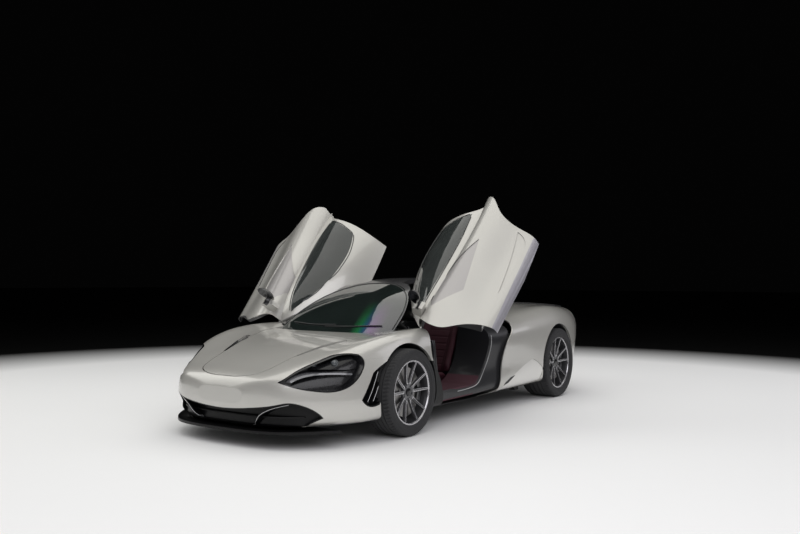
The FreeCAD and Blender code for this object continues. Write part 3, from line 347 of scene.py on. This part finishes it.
# Painted sheen: the rainbow colours, from dark through green, blue and violet.
SHEEN_BANDS = [(0.0, (0.010, 0.014, 0.013, 1)), (0.30, (0.010, 0.016, 0.014, 1)),
         (0.48, (0.015, 0.16, 0.05, 1)), (0.60, (0.02, 0.10, 0.16, 1)),
         (0.74, (0.14, 0.05, 0.20, 1)), (1.0, (0.05, 0.05, 0.06, 1))]
BANDS_START, BANDS_WIDTH, BANDS_AHEAD, BANDS_SLANT = 0.02, 0.42, 0.75, 0.45
FADE_START, FADE_HEIGHT = 0.79, 0.20
screen_glass = tinted("screen_glass", (0.010, 0.014, 0.013, 1), 0.82)
x, y, z = screen_glass.axes()
through_bands = (x - BANDS_START) / BANDS_WIDTH + (y + BANDS_AHEAD) * BANDS_SLANT
sheen_band = screen_glass.add("ShaderNodeValToRGB", {"stops": SHEEN_BANDS}, {"Fac": through_bands})
fade = 1 - (z - FADE_START) / FADE_HEIGHT
low_corner = fade.math("MINIMUM", fade, 1.0) | 0.0
# Painted sheen: the rainbow bands are mixed into the windscreen's colour towards its lower corner.
screen_glass.over((x > 0.0) * low_corner * 0.75, sheen_band.outputs[0], 0.03, 0.0, 1.0)
dress(screen_glass.done(), "windscreen")

# Doorways: a black rubber cord is pressed on round each opening of the tub, and outside it a thin bright
# line runs along the sill and up the post behind the door, a painted highlight along the seal's edge.


def bead(name, points, target, way, radius, turned=None, lift=0.0):
    """Thin round line that is dropped on a CAD node along its own axis way, such as '-X'."""
    curve = bpy.data.curves.new(name, "CURVE")
    curve.dimensions = "3D"
    spline = curve.splines.new("NURBS")
    spline.points.add(len(points) - 1)
    for point, place in zip(spline.points, points):
        point.co = (*place, 1)
    spline.order_u = 3
    spline.use_endpoint_u = True
    curve.resolution_u = 10
    line = bpy.data.objects.new(name, curve)
    bpy.context.collection.objects.link(line)
    bpy.ops.object.select_all(action="DESELECT")
    line.select_set(True)
    bpy.context.view_layer.objects.active = line
    bpy.ops.object.convert(target="MESH")
    if turned:
        line.matrix_world = turned
    wrap = line.modifiers.new("laid", "SHRINKWRAP")
    wrap.wrap_method = "PROJECT"
    wrap.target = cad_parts[target]
    wrap.offset = lift
    for axis in "xyz":
        setattr(wrap, f"use_project_{axis}", axis == way[1].lower())
    wrap.use_negative_direction = way[0] == "-"
    wrap.use_positive_direction = way[0] == "+"
    before = [vertex.co.copy() for vertex in line.data.vertices]
    bpy.ops.object.modifier_apply(modifier="laid")
    bpy.ops.object.mode_set(mode="EDIT")
    bpy.ops.mesh.select_all(action="DESELECT")
    bpy.ops.object.mode_set(mode="OBJECT")
    # Points that missed the node haven't moved, and are taken out.
    for vertex, old in zip(line.data.vertices, before):
        vertex.select = (vertex.co - old).length < 1e-6
    bpy.ops.object.mode_set(mode="EDIT")
    bpy.ops.mesh.delete(type="VERT")
    bpy.ops.object.mode_set(mode="OBJECT")
    bpy.ops.object.convert(target="CURVE")
    line.data.bevel_depth = radius
    line.data.bevel_resolution = 2
    line.data.use_fill_caps = True
    bpy.ops.object.convert(target="MESH")
    bpy.ops.object.transform_apply()
    bpy.ops.object.shade_smooth_by_angle(angle=math.radians(50))
    return line


def fitted(piece, material, body):
    """The piece's finish, and the body it is fixed to."""
    piece.data.materials.clear()
    piece.data.materials.append(material)
    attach(piece, body)


def twin(piece, name, body, *stands_for):
    """The same piece for the car's other side, with its own mesh."""
    other = piece.copy()
    other.data = piece.data.copy()
    other.name = name
    bpy.context.collection.objects.link(other)
    other.data.transform(Matrix.Diagonal((-1, 1, 1, 1)))
    other.data.flip_normals()
    if "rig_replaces" in other:
        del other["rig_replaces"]
    if stands_for:
        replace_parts(other, *stands_for)
    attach(other, body)
    return other


def beside(points, across=1.1):
    """A line drawn from the side, set at a distance across the car, by default clear of its left."""
    return [(across, y, z) for y, z in from_side(points)]


seal_rubber = moulded("seal_rubber", (0.016, 0.016, 0.017, 1), 700.0, 0.35).done()
# A thin bright metallic line: a painted highlight laid along edges that catch the light.
highlight_strip = painted("bright_strip", (0.62, 0.62, 0.62, 1), (0.45, 0.45, 0.46, 1)).done()
DOORWAY = [(408, 690), (406, 640), (414, 520), (440, 400), (448, 300), (470, 264), (560, 266), (760, 266),
           (965, 268), (1090, 292), (1175, 365), (1250, 450), (1302, 570), (1326, 695)]
loop = bead("doorway_seal_left", beside(DOORWAY), "tub", "-X", 0.004)
fitted(loop, seal_rubber, "chassis")
twin(loop, "doorway_seal_right", "chassis")
OUTER = [(s + (24 if s > 1000 else 0), h - 14) for s, h in DOORWAY[7:]]
# Painted highlight: a bright line beside the seal where its edge catches the light.
doorway_highlight = bead("doorway_strip_left", beside(OUTER), "tub", "-X", 0.0035)
fitted(doorway_highlight, highlight_strip, "chassis")
twin(doorway_highlight, "doorway_strip_right", "chassis")

# Mouth and side vents: thin bright lines, painted highlights where the edges catch the light, are laid
# along the two pods of the black tray in the bumper's mouth and the two slanting vanes in each vent
# ahead of a front wheel.
CLEAR_AHEAD, EDGE_RADIUS = -2.5, 0.0022
POD = [(268, 156), (290, 177), (312, 193), (332, 217), (354, 238), (398, 263), (443, 282), (495, 298),
       (548, 311)]
VANES = ([(-470, 308), (-432, 376), (-394, 444), (-356, 512)], [(-424, 308), (-404, 344), (-368, 410)])
pod_line = [(u / 1000, CLEAR_AHEAD, h / 1000) for u, h in POD]
# Painted highlight: a bright line along each pod's edge.
pod_highlight = bead("mouth_edge_left", pod_line, "front_intake", "+Y", EDGE_RADIUS)
fitted(pod_highlight, highlight_strip, "chassis")
twin(pod_highlight, "mouth_edge_right", "chassis")
for n, vane in enumerate(VANES):
    # Painted highlight: a bright line along each vane's edge.
    vane_highlight = bead(f"vane_edge_left_{n}", beside(vane), "side_vents", "-X", EDGE_RADIUS)
    fitted(vane_highlight, highlight_strip, "chassis")
    twin(vane_highlight, f"vane_edge_right_{n}", "chassis")

# Windscreen: a black rubber seal lies round it, and two wipers are parked across its foot.
CLEAR_ABOVE = 1.5
SCREEN_SIDE = [(575, 262), (556, 414), (498, 568), (423, 690), (315, 789), (197, 859), (118, 880), (0, 885)]
around = [(u / 1000, drawn(s), CLEAR_ABOVE) for u, s in SCREEN_SIDE]
around += [(-u, v, w) for u, v, w in reversed(around[:-1])]
screen_seal = bead("screen_seal", around, "windscreen", "-Z", 0.005)
fitted(screen_seal, seal_rubber, "chassis")
WIPERS = (("wiper_left", [(0.47, 262), (0.30, 232), (0.10, 214), (-0.08, 210)]),
          ("wiper_right", [(0.02, 232), (-0.16, 224), (-0.34, 240), (-0.47, 268)]))
for name, line in WIPERS:
    blade_line = [(u, drawn(s), CLEAR_ABOVE) for u, s in line]
    blade = bead(name, blade_line, "windscreen", "-Z", 0.006, lift=0.006)
    fitted(blade, seal_rubber, "chassis")

# Door glass: a black rubber strip holds each pane in the door's frame.
WINDOW = [(474, 848), (560, 905), (700, 993), (830, 1042), (950, 1088), (1080, 1112), (1200, 1123),
          (1330, 1120), (1446, 1106), (1500, 1045), (1540, 1002), (1575, 942), (1606, 882), (1450, 861),
          (1300, 842), (1100, 835), (900, 832), (690, 832), (480, 842)]
for side, sign in SIDES:
    inwards = "-X" if sign > 0 else "+X"
    window_seal = bead(f"window_seal_{side}", beside(WINDOW, sign * 1.1), f"door_{side}", inwards, 0.0045,
                       OPENED[side])
    fitted(window_seal, seal_rubber, f"door_{side}")

# Wheels: forged alloy rims painted dark grey, whose raised spoke faces and outer lip are turned
# bright on a lathe, with ground iron brake discs behind them and black rubber tyres on their beads.
# Five steel bolts and a plain cap hold and close each hub.


def ground(name, colour, rough=0.3, metal=1.0):
    """Bare metal with faint machining marks."""
    finish = Finish(name)
    marks = finish.noise(300.0, 4.0)
    return finish.surface(finish.mixed(marks, colour, shade(colour, 0.7)), rough + marks * 0.15, metal)


def from_axle(y, z, middle):
    """Distance from the line across the car through a wheel's middle."""
    along, high = y - middle[1], z - middle[2]
    return y.math("SQRT", along * along + high * high)


def tyre_rubber(name, middle):
    """Rubber, a little greyer where it meets the road and black at the bottom of its grooves."""
    worn_depth, half_tread = 0.0015, 0.09
    finish = Finish(name)
    x, y, z = finish.axes()
    grain = finish.noise(900.0, 3.0)
    finish.bump(grain, 0.0003, 0.5)
    side = finish.mixed(finish.noise(90.0, 3.0), (0.014, 0.014, 0.015, 1), (0.024, 0.024, 0.026, 1))
    finish.surface(side, 0.6 + grain * 0.2)
    on_road = from_axle(y, z, middle) > middle[2] - worn_depth
    finish.over(on_road * (abs(abs(x) - middle[0]) < half_tread), (0.034, 0.034, 0.035, 1), 0.8)
    return finish.done()


def tyre(name, middle, width, reach, rim):
    """Tyre turned from its section, with four grooves round it and slanting cuts across its shoulders."""
    half, wall, share = width / 2, reach - rim, width / 0.245
    groove_depth, steps, shoulder = 0.0065, 216, 0.060 * share
    cut_depth, cut_slant = 0.006, 0.9
    side = [(half * 0.86, rim), (half * 0.93, rim + wall * 0.10)]
    side += [(half - inset, rim + wall * height) for inset, height in (
        (0.003, 0.22), (0.0005, 0.26), (0.0005, 0.30), (0.002, 0.34), (0.0005, 0.45), (0.001, 0.58),
        (0.004, 0.62))]
    side += [(half - inset, reach - depth) for inset, depth in (
        (0.004, 0.026), (0.009, 0.014), (0.018, 0.005), (0.030, 0.001))]
    tread = [(0.072 * share, reach)]
    for groove in (0.055 * share, 0.020 * share):
        tread += [(groove + 0.0045, reach), (groove + 0.003, reach - groove_depth),
                  (groove - 0.003, reach - groove_depth), (groove - 0.0045, reach)]
    upper = side + tread
    corners = upper + [(-across, radius) for across, radius in reversed(upper)]
    section = bpy.data.meshes.new(name)
    section.from_pydata([(across, 0, radius) for across, radius in corners],
                        [(n, (n + 1) % len(corners)) for n in range(len(corners))], [])
    made = bpy.data.objects.new(name, section)
    bpy.context.collection.objects.link(made)
    bpy.ops.object.select_all(action="DESELECT")
    made.select_set(True)
    bpy.context.view_layer.objects.active = made
    bpy.ops.object.mode_set(mode="EDIT")
    bpy.ops.mesh.select_all(action="SELECT")
    bpy.ops.mesh.spin(steps=steps, angle=2 * math.pi, center=(0, 0, 0), axis=(1, 0, 0))
    bpy.ops.mesh.select_all(action="SELECT")
    bpy.ops.mesh.remove_doubles(threshold=0.00001)
    bpy.ops.mesh.normals_make_consistent(inside=False)
    bpy.ops.object.mode_set(mode="OBJECT")
    for vertex in section.vertices:
        across, radius = abs(vertex.co.x), math.hypot(vertex.co.y, vertex.co.z)
        turn = math.atan2(vertex.co.y, vertex.co.z)
        if across > shoulder and radius > reach - 0.010:
            if round(turn / math.radians(360 / steps)) % 3 == 0:
                radius -= cut_depth
            turn += (across - shoulder) * cut_slant
            vertex.co = (vertex.co.x, radius * math.sin(turn), radius * math.cos(turn))
    section.transform(Matrix.Translation(middle))
    bpy.ops.object.shade_smooth_by_angle(angle=math.radians(35))
    return made


RIM_SHARE = 0.43


def star_alloy(name, middle, width, rim):
    """Dark paint, with bare turned metal wherever the rim reaches the line of its dished face."""
    farthest, deepest, hub_radius, seat = 0.3, 50, 0.066, rim - 0.0003
    dish_line = ((0.040, 34), (0.090, 31), (0.150, 22), (seat - 0.040, 11), (seat - 0.012, 5))
    finish = painted(name, (0.10, 0.10, 0.105, 1), (0.045, 0.045, 0.05, 1))
    x, y, z = finish.axes()
    radius = from_axle(y, z, middle)
    stops = [(place / farthest, (back / deepest,) * 3 + (1,)) for place, back in dish_line]
    dish = finish.add("ShaderNodeValToRGB", {"stops": stops}, {"Fac": radius / farthest})
    past_lip = abs(x) - middle[0] - width * RIM_SHARE
    at_face = past_lip + Value(finish, dish.outputs[0]) * (deepest / 1000) > -0.0013
    turned = at_face * (radius > hub_radius)
    rings = finish.noise(900.0)
    finish.over(turned, (0.52, 0.51, 0.53, 1), 0.26, 0.75, 0.4)
    finish.bump(turned * rings, 0.0002, 0.3)
    return finish.done()


def peg(name, radius, length, where, sides, soft):
    """Short round or six-sided piece lying along x, with softened edges."""
    bpy.ops.object.select_all(action="DESELECT")
    bpy.ops.mesh.primitive_cylinder_add(vertices=sides, radius=radius, depth=length, location=where,
                                        rotation=(0, math.pi / 2, 0))
    made = bpy.context.object
    made.name = name
    edge = made.modifiers.new("edge", "BEVEL")
    edge.width = soft
    edge.segments = 2
    bpy.ops.object.modifier_apply(modifier="edge")
    bpy.ops.object.transform_apply()
    bpy.ops.object.shade_smooth_by_angle(angle=math.radians(40))
    return made


def joined(pieces):
    """Several pieces made one."""
    bpy.ops.object.select_all(action="DESELECT")
    for one in pieces:
        one.select_set(True)
    bpy.context.view_layer.objects.active = pieces[0]
    bpy.ops.object.join()
    return pieces[0]


iron = ground("ground_iron", (0.42, 0.41, 0.40, 1)).done()
steel = ground("bolt_steel", (0.30, 0.30, 0.31, 1), 0.35, 0.8).done()
BOLT_CIRCLE, HUB_DEPTH = 0.050, 0.036
# Each end's left wheel: its middle, the tyre's width and the radius of the rim.
WHEELS = {"front": ((0.837, drawn(0), 0.327), 0.245, 0.241),
          "rear": ((0.8145, drawn(2670), 0.345), 0.305, 0.254)}
for end, (middle, width, rim) in WHEELS.items():
    wheel_x, wheel_y, wheel_z = middle
    rubber = tyre_rubber(f"{end}_tyre_rubber", middle)
    alloy = star_alloy(f"{end}_star_alloy", middle, width, rim)
    face = wheel_x + width * RIM_SHARE - HUB_DEPTH
    bolts = []
    for n in range(5):
        turn = math.radians(72 * n + 36)
        place = (face + 0.0065, wheel_y + BOLT_CIRCLE * math.sin(turn),
                 wheel_z + BOLT_CIRCLE * math.cos(turn))
        bolts.append(peg(f"{end}_bolt", 0.0085, 0.009, place, 6, 0.0015))
    bolts = joined(bolts)
    bolts.name = f"{end}_bolts_left"
    cap = peg(f"{end}_cap_left", 0.031, 0.006, (face + 0.0035, wheel_y, wheel_z), 48, 0.002)
    for side in ("left", "right"):
        dress(rubber, f"{end}_tyre_{side}")
        dress(alloy, f"{end}_rim_{side}")
        dress(iron, f"{end}_disc_{side}")
    tread = tyre(f"{end}_treaded_tyre_left", middle, width, wheel_z - 0.0003, rim)
    fitted(tread, rubber, f"{end}_wheel_left")
    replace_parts(tread, f"{end}_tyre_left")
    twin(tread, f"{end}_treaded_tyre_right", f"{end}_wheel_right", f"{end}_tyre_right")
    fitted(bolts, steel, f"{end}_wheel_left")
    twin(bolts, f"{end}_bolts_right", f"{end}_wheel_right")
    fitted(cap, gloss_black, f"{end}_wheel_left")
    twin(cap, f"{end}_cap_right", f"{end}_wheel_right")

# Uprights, arms and frames: cast and welded alloy, with the brake calipers on the uprights painted
# dark grey. The engine is one plain cast block, and the exhausts are brushed steel pipes.
CAST_COLOUR = (0.34, 0.34, 0.36, 1)
CALIPER_RADIUS, CALIPER_DEPTH = 0.132, 0.06
dress(ground("cast_alloy", CAST_COLOUR, 0.45, 0.8).done(), "subframes", "wishbones", "engine")
for part, end in (("knuckle_left", "front"), ("knuckle_right", "front"), ("rear_uprights", "rear")):
    middle = WHEELS[end][0]
    upright = ground(f"{part}_metal", CAST_COLOUR, 0.45, 0.8)
    x, y, z = upright.axes()
    caliper = (from_axle(y, z, middle) > CALIPER_RADIUS) * (abs(x) > middle[0] - CALIPER_DEPTH)
    upright.over(caliper, (0.03, 0.03, 0.032, 1), 0.3, 0.2, 0.8)
    dress(upright.done(), part)
dress(ground("pipe_steel", (0.40, 0.37, 0.34, 1), 0.28, 0.9).done(), "exhausts")

# Lamps: each eye socket is a gloss black shell with two round projector lenses on its inner ledge
# and a thin clear light guide across it. The tail has two thin red light guides.


def lens(name, colour, glow):
    """Clear or coloured moulding that glows slightly of itself."""
    finish = Finish(name, Coat_Roughness=0.03, Emission_Strength=glow, Emission_Color=colour)
    ribs = finish.noise(200.0)
    return finish.surface(finish.mixed(ribs, shade(colour, 0.7), colour), 0.1, 0.0, 1.0).done()


dress(lens("white_guide", (0.16, 0.16, 0.17, 1), 0.05), "lamp_strips")
dress(lens("red_guide", (0.42, 0.01, 0.01, 1), 0.15), "tail_lamps")
projector_glass = tinted("projector_glass", (0.05, 0.055, 0.06, 1), 1.0).done()
PROJECTORS = ((-610, 578, 0.024), (-700, 566, 0.021))
FORWARD_LEAN = Vector((0, -0.9, 0.1))
units = []
for s, height, radius in PROJECTORS:
    # A line from the car's left meets the lamp's socket at place, where its surface faces normal.
    start = Vector((1.2, drawn(s), height / 1000))
    _, place, normal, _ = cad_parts["headlamps"].ray_cast(start, Vector((-1, 0, 0)))
    bpy.ops.object.select_all(action="DESELECT")
    bpy.ops.mesh.primitive_uv_sphere_add(segments=32, ring_count=16, radius=radius, location=(0, 0, 0))
    dome = bpy.context.object
    bpy.ops.object.mode_set(mode="EDIT")
    bpy.ops.mesh.select_all(action="SELECT")
    bpy.ops.mesh.bisect(plane_co=(0, 0, 0), plane_no=(0, 0, 1), use_fill=True, clear_inner=True)
    bpy.ops.object.mode_set(mode="OBJECT")
    bpy.ops.mesh.primitive_torus_add(major_radius=radius + 0.003, minor_radius=0.0032, major_segments=40,
                                     minor_segments=10, location=(0, 0, 0))
    unit = joined([dome, bpy.context.object])
    lean = (normal.normalized() + FORWARD_LEAN).normalized()
    unit.matrix_world = Matrix.Translation(place) @ lean.to_track_quat("Z", "Y").to_matrix().to_4x4()
    bpy.ops.object.transform_apply()
    bpy.ops.object.shade_smooth_by_angle(angle=math.radians(40))
    units.append(unit)
units = joined(units)
units.name = "projectors_left"
fitted(units, projector_glass, "chassis")
twin(units, "projectors_right", "chassis")

# Seats: each is a one-piece carbon shell, in which lie a cushion and a backrest of foam under plum
# leather, with raised side bolsters and channels sewn across. The shells replace the solid seats.


def hide(name, colour):
    """Grained leather."""
    finish = Finish(name)
    cells = finish.add("ShaderNodeTexVoronoi", None, {"Vector": finish.place(), "Scale": 450.0})
    grain = Value(finish, cells.outputs["Distance"])
    finish.bump(grain, 0.0006, 0.6)
    return finish.surface(finish.mixed(grain, shade(colour, 0.6), colour), 0.45 + grain * 0.2).done()


def pad(name, half_width, points, thick, bolster, channels):
    """Upholstered pad on a line drawn from the side, with bolsters at its sides and sewn channels."""
    middle, end_length, flat, slope = 0.34, 0.06, 0.50, 0.28
    sewn_reach, seam, seam_width = 0.52, 0.54, 0.045
    path = [Vector(point) for point in from_side(points)]
    bpy.ops.object.select_all(action="DESELECT")
    bpy.ops.mesh.primitive_grid_add(x_subdivisions=26, y_subdivisions=72, size=2, location=(0, 0, 0))
    made = bpy.context.object
    made.name = name
    steps = [0.0]
    for a, b in zip(path, path[1:]):
        steps.append(steps[-1] + (b - a).length)
    for vertex in made.data.vertices:
        u, run = vertex.co.x, (vertex.co.y + 1) / 2 * steps[-1]
        n = max(k for k in range(len(path) - 1) if steps[k] <= run + 1e-9)
        share = (run - steps[n]) / (steps[n + 1] - steps[n])
        spot = path[n].lerp(path[n + 1], share)
        ahead = (path[n + 1] - path[n]).normalized()
        if share > 0.5 and n + 2 < len(path):
            ahead = ahead.lerp((path[n + 2] - path[n + 1]).normalized(), share - 0.5).normalized()
        if share < 0.5 and n > 0:
            ahead = ahead.lerp((path[n] - path[n - 1]).normalized(), 0.5 - share).normalized()
        outwards = Vector((-ahead.y, ahead.x))
        end_fade = min(1.0, run / end_length, (steps[-1] - run) / end_length)
        side = min(max((abs(u) - flat) / slope, 0.0), 1.0)
        lift = bolster * side * side * (3 - 2 * side) * (0.35 + 0.65 * end_fade)
        lift -= 0.030 * max(abs(u) - 0.88, 0) / 0.12 + 0.025 * (1 - end_fade) ** 2
        sewn = abs(math.sin(math.pi * run / channels)) if abs(u) < sewn_reach else 1.0
        lift -= 0.008 * (1 - min(sewn * 2.6, 1.0)) ** 2
        lift -= 0.007 * max(0.0, 1 - abs(abs(u) - seam) / seam_width)
        spot = spot + outwards * lift
        vertex.co = Vector((middle + u * half_width, spot.x, spot.y))
    wall = made.modifiers.new("foam", "SOLIDIFY")
    wall.thickness = thick
    wall.offset = -1
    bpy.ops.object.modifier_apply(modifier="foam")
    bpy.ops.object.mode_set(mode="EDIT")
    bpy.ops.mesh.select_all(action="SELECT")
    bpy.ops.mesh.normals_make_consistent(inside=False)
    bpy.ops.object.mode_set(mode="OBJECT")
    soft = made.modifiers.new("soft", "SUBSURF")
    soft.levels = soft.render_levels = 1
    bpy.ops.object.modifier_apply(modifier="soft")
    bpy.ops.object.shade_smooth()
    return made


plum = hide("plum_leather", (0.08, 0.016, 0.03, 1))
CUSHION = [(806, 300), (840, 338), (960, 342), (1080, 326), (1176, 322)]
REST = [(1192, 352), (1225, 420), (1290, 560), (1345, 680), (1400, 778), (1428, 826)]
SHELL = [(812, 226), (1150, 218), (1245, 226), (1330, 400), (1420, 600), (1494, 792)]
cushion = pad("seat_cushion_left", 0.208, CUSHION, 0.10, 0.030, 0.062)
backrest = pad("seat_backrest_left", 0.208, REST, 0.075, 0.034, 0.066)
shell = pad("seat_shell_left", 0.213, SHELL, 0.035, 0.0, 9.0)
fitted(shell, black_weave, "chassis")
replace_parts(shell, "seats")
twin(shell, "seat_shell_right", "chassis", "seats")
for one in (cushion, backrest):
    fitted(one, plum, "chassis")
    other = twin(one, one.name.replace("left", "right"), "chassis")

# Steering wheel and instruments: a leather-bound rim on two spokes, a padded centre, and flat glossy
# screens behind it and on the console.
black_hide = hide("black_leather", (0.02, 0.02, 0.02, 1))
dress(black_hide, "steering_wheel")


def slab(name, sizes, where, lean):
    """Flat box with softened edges, leaning back about x."""
    bpy.ops.object.select_all(action="DESELECT")
    bpy.ops.mesh.primitive_cube_add(size=1, location=where, rotation=(lean, 0, 0))
    made = bpy.context.object
    made.name = name
    made.scale = sizes
    bpy.ops.object.transform_apply()
    edge = made.modifiers.new("edge", "BEVEL")
    edge.width = 0.004
    edge.segments = 3
    bpy.ops.object.modifier_apply(modifier="edge")
    bpy.ops.object.shade_smooth_by_angle(angle=math.radians(40))
    return made


screen_face = moulded("screen_face", (0.006, 0.007, 0.009, 1), 30.0, 0.06, 1.0).done()
instruments = slab("instrument_screen", (0.25, 0.012, 0.085), (0.34, drawn(652), 0.735), math.radians(-20))
fitted(instruments, screen_face, "chassis")
centre_screen = slab("centre_screen", (0.15, 0.012, 0.20), (0.0, drawn(634), 0.60), math.radians(-24))
fitted(centre_screen, screen_face, "chassis")

# Door pulls: a leather-bound bar on each door's inner side, fixed at both its ends.
PULL = [(700, 500), (760, 520), (900, 528), (1040, 524), (1090, 500)]
for side, sign in SIDES:
    outwards = "+X" if sign > 0 else "-X"
    pull = bead(f"door_pull_{side}", beside(PULL, sign * 0.3), f"door_{side}", outwards, 0.012, OPENED[side])
    fitted(pull, black_hide, f"door_{side}")

# Door mirrors: the painted foot carries a black housing with a flat silvered glass facing rearward.
HOUSING_REACH, HOUSING_FOOT, PANE_RADIUS = 0.895, 0.80, 0.084
mirror_pane = ground("mirror_silver", (0.75, 0.76, 0.78, 1), 0.03).done()
for side, sign in SIDES:
    mirror_paint = painted(f"mirror_paint_{side}")
    x, y, z = as_shut(mirror_paint, side)
    housing = (x * sign > HOUSING_REACH) * (z > HOUSING_FOOT)
    mirror_paint.over(housing, (0.014, 0.014, 0.015, 1), 0.3, 0.0, 0.6)
    dress(mirror_paint.done(), f"mirror_{side}")
    bpy.ops.object.select_all(action="DESELECT")
    bpy.ops.mesh.primitive_cylinder_add(vertices=64, radius=PANE_RADIUS, depth=0.003, location=(0, 0, 0))
    pane = bpy.context.object
    pane.name = f"mirror_glass_{side}"
    bpy.ops.object.mode_set(mode="EDIT")
    bpy.ops.mesh.select_all(action="SELECT")
    bpy.ops.transform.resize(value=(1, 0.55, 1))
    bpy.ops.object.mode_set(mode="OBJECT")
    edge = pane.modifiers.new("edge", "BEVEL")
    edge.width = 0.001
    bpy.ops.object.modifier_apply(modifier="edge")
    upright_pane = Matrix.Translation((sign * 0.965, drawn(430) + 0.0265, 0.865))
    upright_pane = upright_pane @ Matrix.Rotation(math.pi / 2, 4, "X")
    pane.data.transform(OPENED[side] @ upright_pane)
    fitted(pane, mirror_pane, f"door_{side}")

# Tail: a mesh of black coated wire stands behind the louvres, held in the rear bumper, and lets the
# engine bay breathe.
bpy.ops.object.select_all(action="DESELECT")
bpy.ops.mesh.primitive_grid_add(x_subdivisions=70, y_subdivisions=12, size=1,
                                location=(0, drawn(3425), 0.675), rotation=(math.pi / 2, 0, 0))
mesh_panel = bpy.context.object
mesh_panel.name = "tail_mesh"
mesh_panel.scale = (1.10, 0.19, 1)
bpy.ops.object.transform_apply()
bpy.ops.object.mode_set(mode="EDIT")
bpy.ops.mesh.select_all(action="SELECT")
bpy.ops.mesh.poke()
bpy.ops.mesh.tris_convert_to_quads()
bpy.ops.object.mode_set(mode="OBJECT")
wires = mesh_panel.modifiers.new("wires", "WIREFRAME")
wires.thickness = 0.0022
bpy.ops.object.modifier_apply(modifier="wires")
fitted(mesh_panel, black_plastic, "chassis")

# Engine cover: four black vent strips lie across the painted deck behind the rear glass, moulded as
# thin inserts that follow its curve.
DECK_SLOTS = ((2440, 0.34), (2560, 0.31), (2680, 0.27), (2800, 0.22))
BOW = 0.012
for n, (s, reach) in enumerate(DECK_SLOTS):
    slot_line = [(u * reach / 6, drawn(s) + BOW * math.cos(math.pi * u / 12), CLEAR_ABOVE)
                 for u in range(-6, 7)]
    insert = bead(f"deck_slot_{n}", slot_line, "rear_deck", "-Z", 0.005)
    fitted(insert, seal_rubber, "chassis")

# Studio: a white floor that darkens far off, soft lamps above and at the sides, and the camera where
# the photograph was taken from.
WHITE = (0.80, 0.80, 0.80, 1)
FLOOR_TONES = [(0.0, WHITE), (0.28, WHITE), (0.40, (0.004, 0.004, 0.004, 1)),
               (1.0, (0.001, 0.001, 0.001, 1))]
FLOOR_REACH = 20
bpy.ops.object.select_all(action="DESELECT")
bpy.ops.mesh.primitive_plane_add(size=200, location=(0, 0, 0))
floor = bpy.context.object
floor.name = "floor"
floor_finish = Finish("pale_floor", Specular_IOR_Level=0.2)
x, y, z = floor_finish.axes()
distance = x.math("SQRT", x * x + y * y)
far = floor_finish.add("ShaderNodeValToRGB", {"stops": FLOOR_TONES}, {"Fac": distance / FLOOR_REACH})
floor_finish.surface(far.outputs[0], 0.5 + floor_finish.noise(60.0) * 0.1)
floor.data.materials.append(floor_finish.done())

# The room lights the car evenly from all round, and is black where it is seen directly, in gloss or
# through glass.
world = bpy.data.worlds.new("studio")
bpy.context.scene.world = world
world.use_nodes = True
sky = world.node_tree
paths = sky.nodes.new("ShaderNodeLightPath")
lit = sky.nodes["Background"]
lit.inputs["Color"].default_value = (1, 1, 1, 1)
lit.inputs["Strength"].default_value = 0.45
seen = sky.nodes.new("ShaderNodeBackground")
seen.inputs["Color"].default_value = (0.001, 0.001, 0.001, 1)
seen.inputs["Strength"].default_value = 1.0
direct = sky.nodes.new("ShaderNodeMath")
direct.operation = "MAXIMUM"
clear = sky.nodes.new("ShaderNodeMath")
clear.operation = "MAXIMUM"
mix = sky.nodes.new("ShaderNodeMixShader")
sky.links.new(paths.outputs["Is Camera Ray"], direct.inputs[0])
sky.links.new(paths.outputs["Is Transmission Ray"], direct.inputs[1])
sky.links.new(direct.outputs[0], clear.inputs[0])
sky.links.new(paths.outputs["Is Glossy Ray"], clear.inputs[1])
sky.links.new(clear.outputs[0], mix.inputs[0])
sky.links.new(lit.outputs[0], mix.inputs[1])
sky.links.new(seen.outputs[0], mix.inputs[2])
sky.links.new(mix.outputs[0], sky.nodes["World Output"].inputs[0])

# Each lamp: its place, its watts, its width and height, and its tint.
LAMPS = (((5.5, -5.5, 5), 250, 7, 5, (0.97, 0.96, 1.0)), ((-6, -4, 5), 150, 6, 5, (1.0, 1.0, 0.97)),
         ((0, 0, 6.5), 280, 7, 11, (1.0, 0.99, 0.95)), ((6, 5, 4.5), 110, 6, 5, (0.95, 0.94, 1.0)))
LIT_SPOT = Vector((0, 0, 0.6))
for place, power, width, height, tint in LAMPS:
    bpy.ops.object.light_add(type="AREA", location=place)
    lamp = bpy.context.object
    lamp.data.shape = "RECTANGLE"
    lamp.data.size, lamp.data.size_y = width, height
    lamp.data.energy = power
    lamp.data.color = tint
    lamp.rotation_euler = (LIT_SPOT - Vector(place)).to_track_quat("-Z", "Y").to_euler()

CAMERA_PLACE = Vector((4.3831, -6.4007, 1.1617))
AZIMUTH, ELEVATION, ROLL = math.radians(34.51), math.radians(-0.96), math.radians(0.24)
back = Vector((math.sin(AZIMUTH) * math.cos(ELEVATION), -math.cos(AZIMUTH) * math.cos(ELEVATION),
               math.sin(ELEVATION)))
level = Vector((0, 0, 1)).cross(back).normalized()
upward = back.cross(level)
right = level * math.cos(ROLL) + upward * math.sin(ROLL)
up = upward * math.cos(ROLL) - level * math.sin(ROLL)
bpy.ops.object.camera_add()
camera = bpy.context.object
camera.data.sensor_width = 36
camera.data.lens = 37.31
turn = Matrix((right, up, back)).transposed()
camera.matrix_world = Matrix.Translation(CAMERA_PLACE) @ turn.to_4x4()
bpy.context.scene.camera = camera
bpy.context.scene.view_settings.view_transform = "Standard"
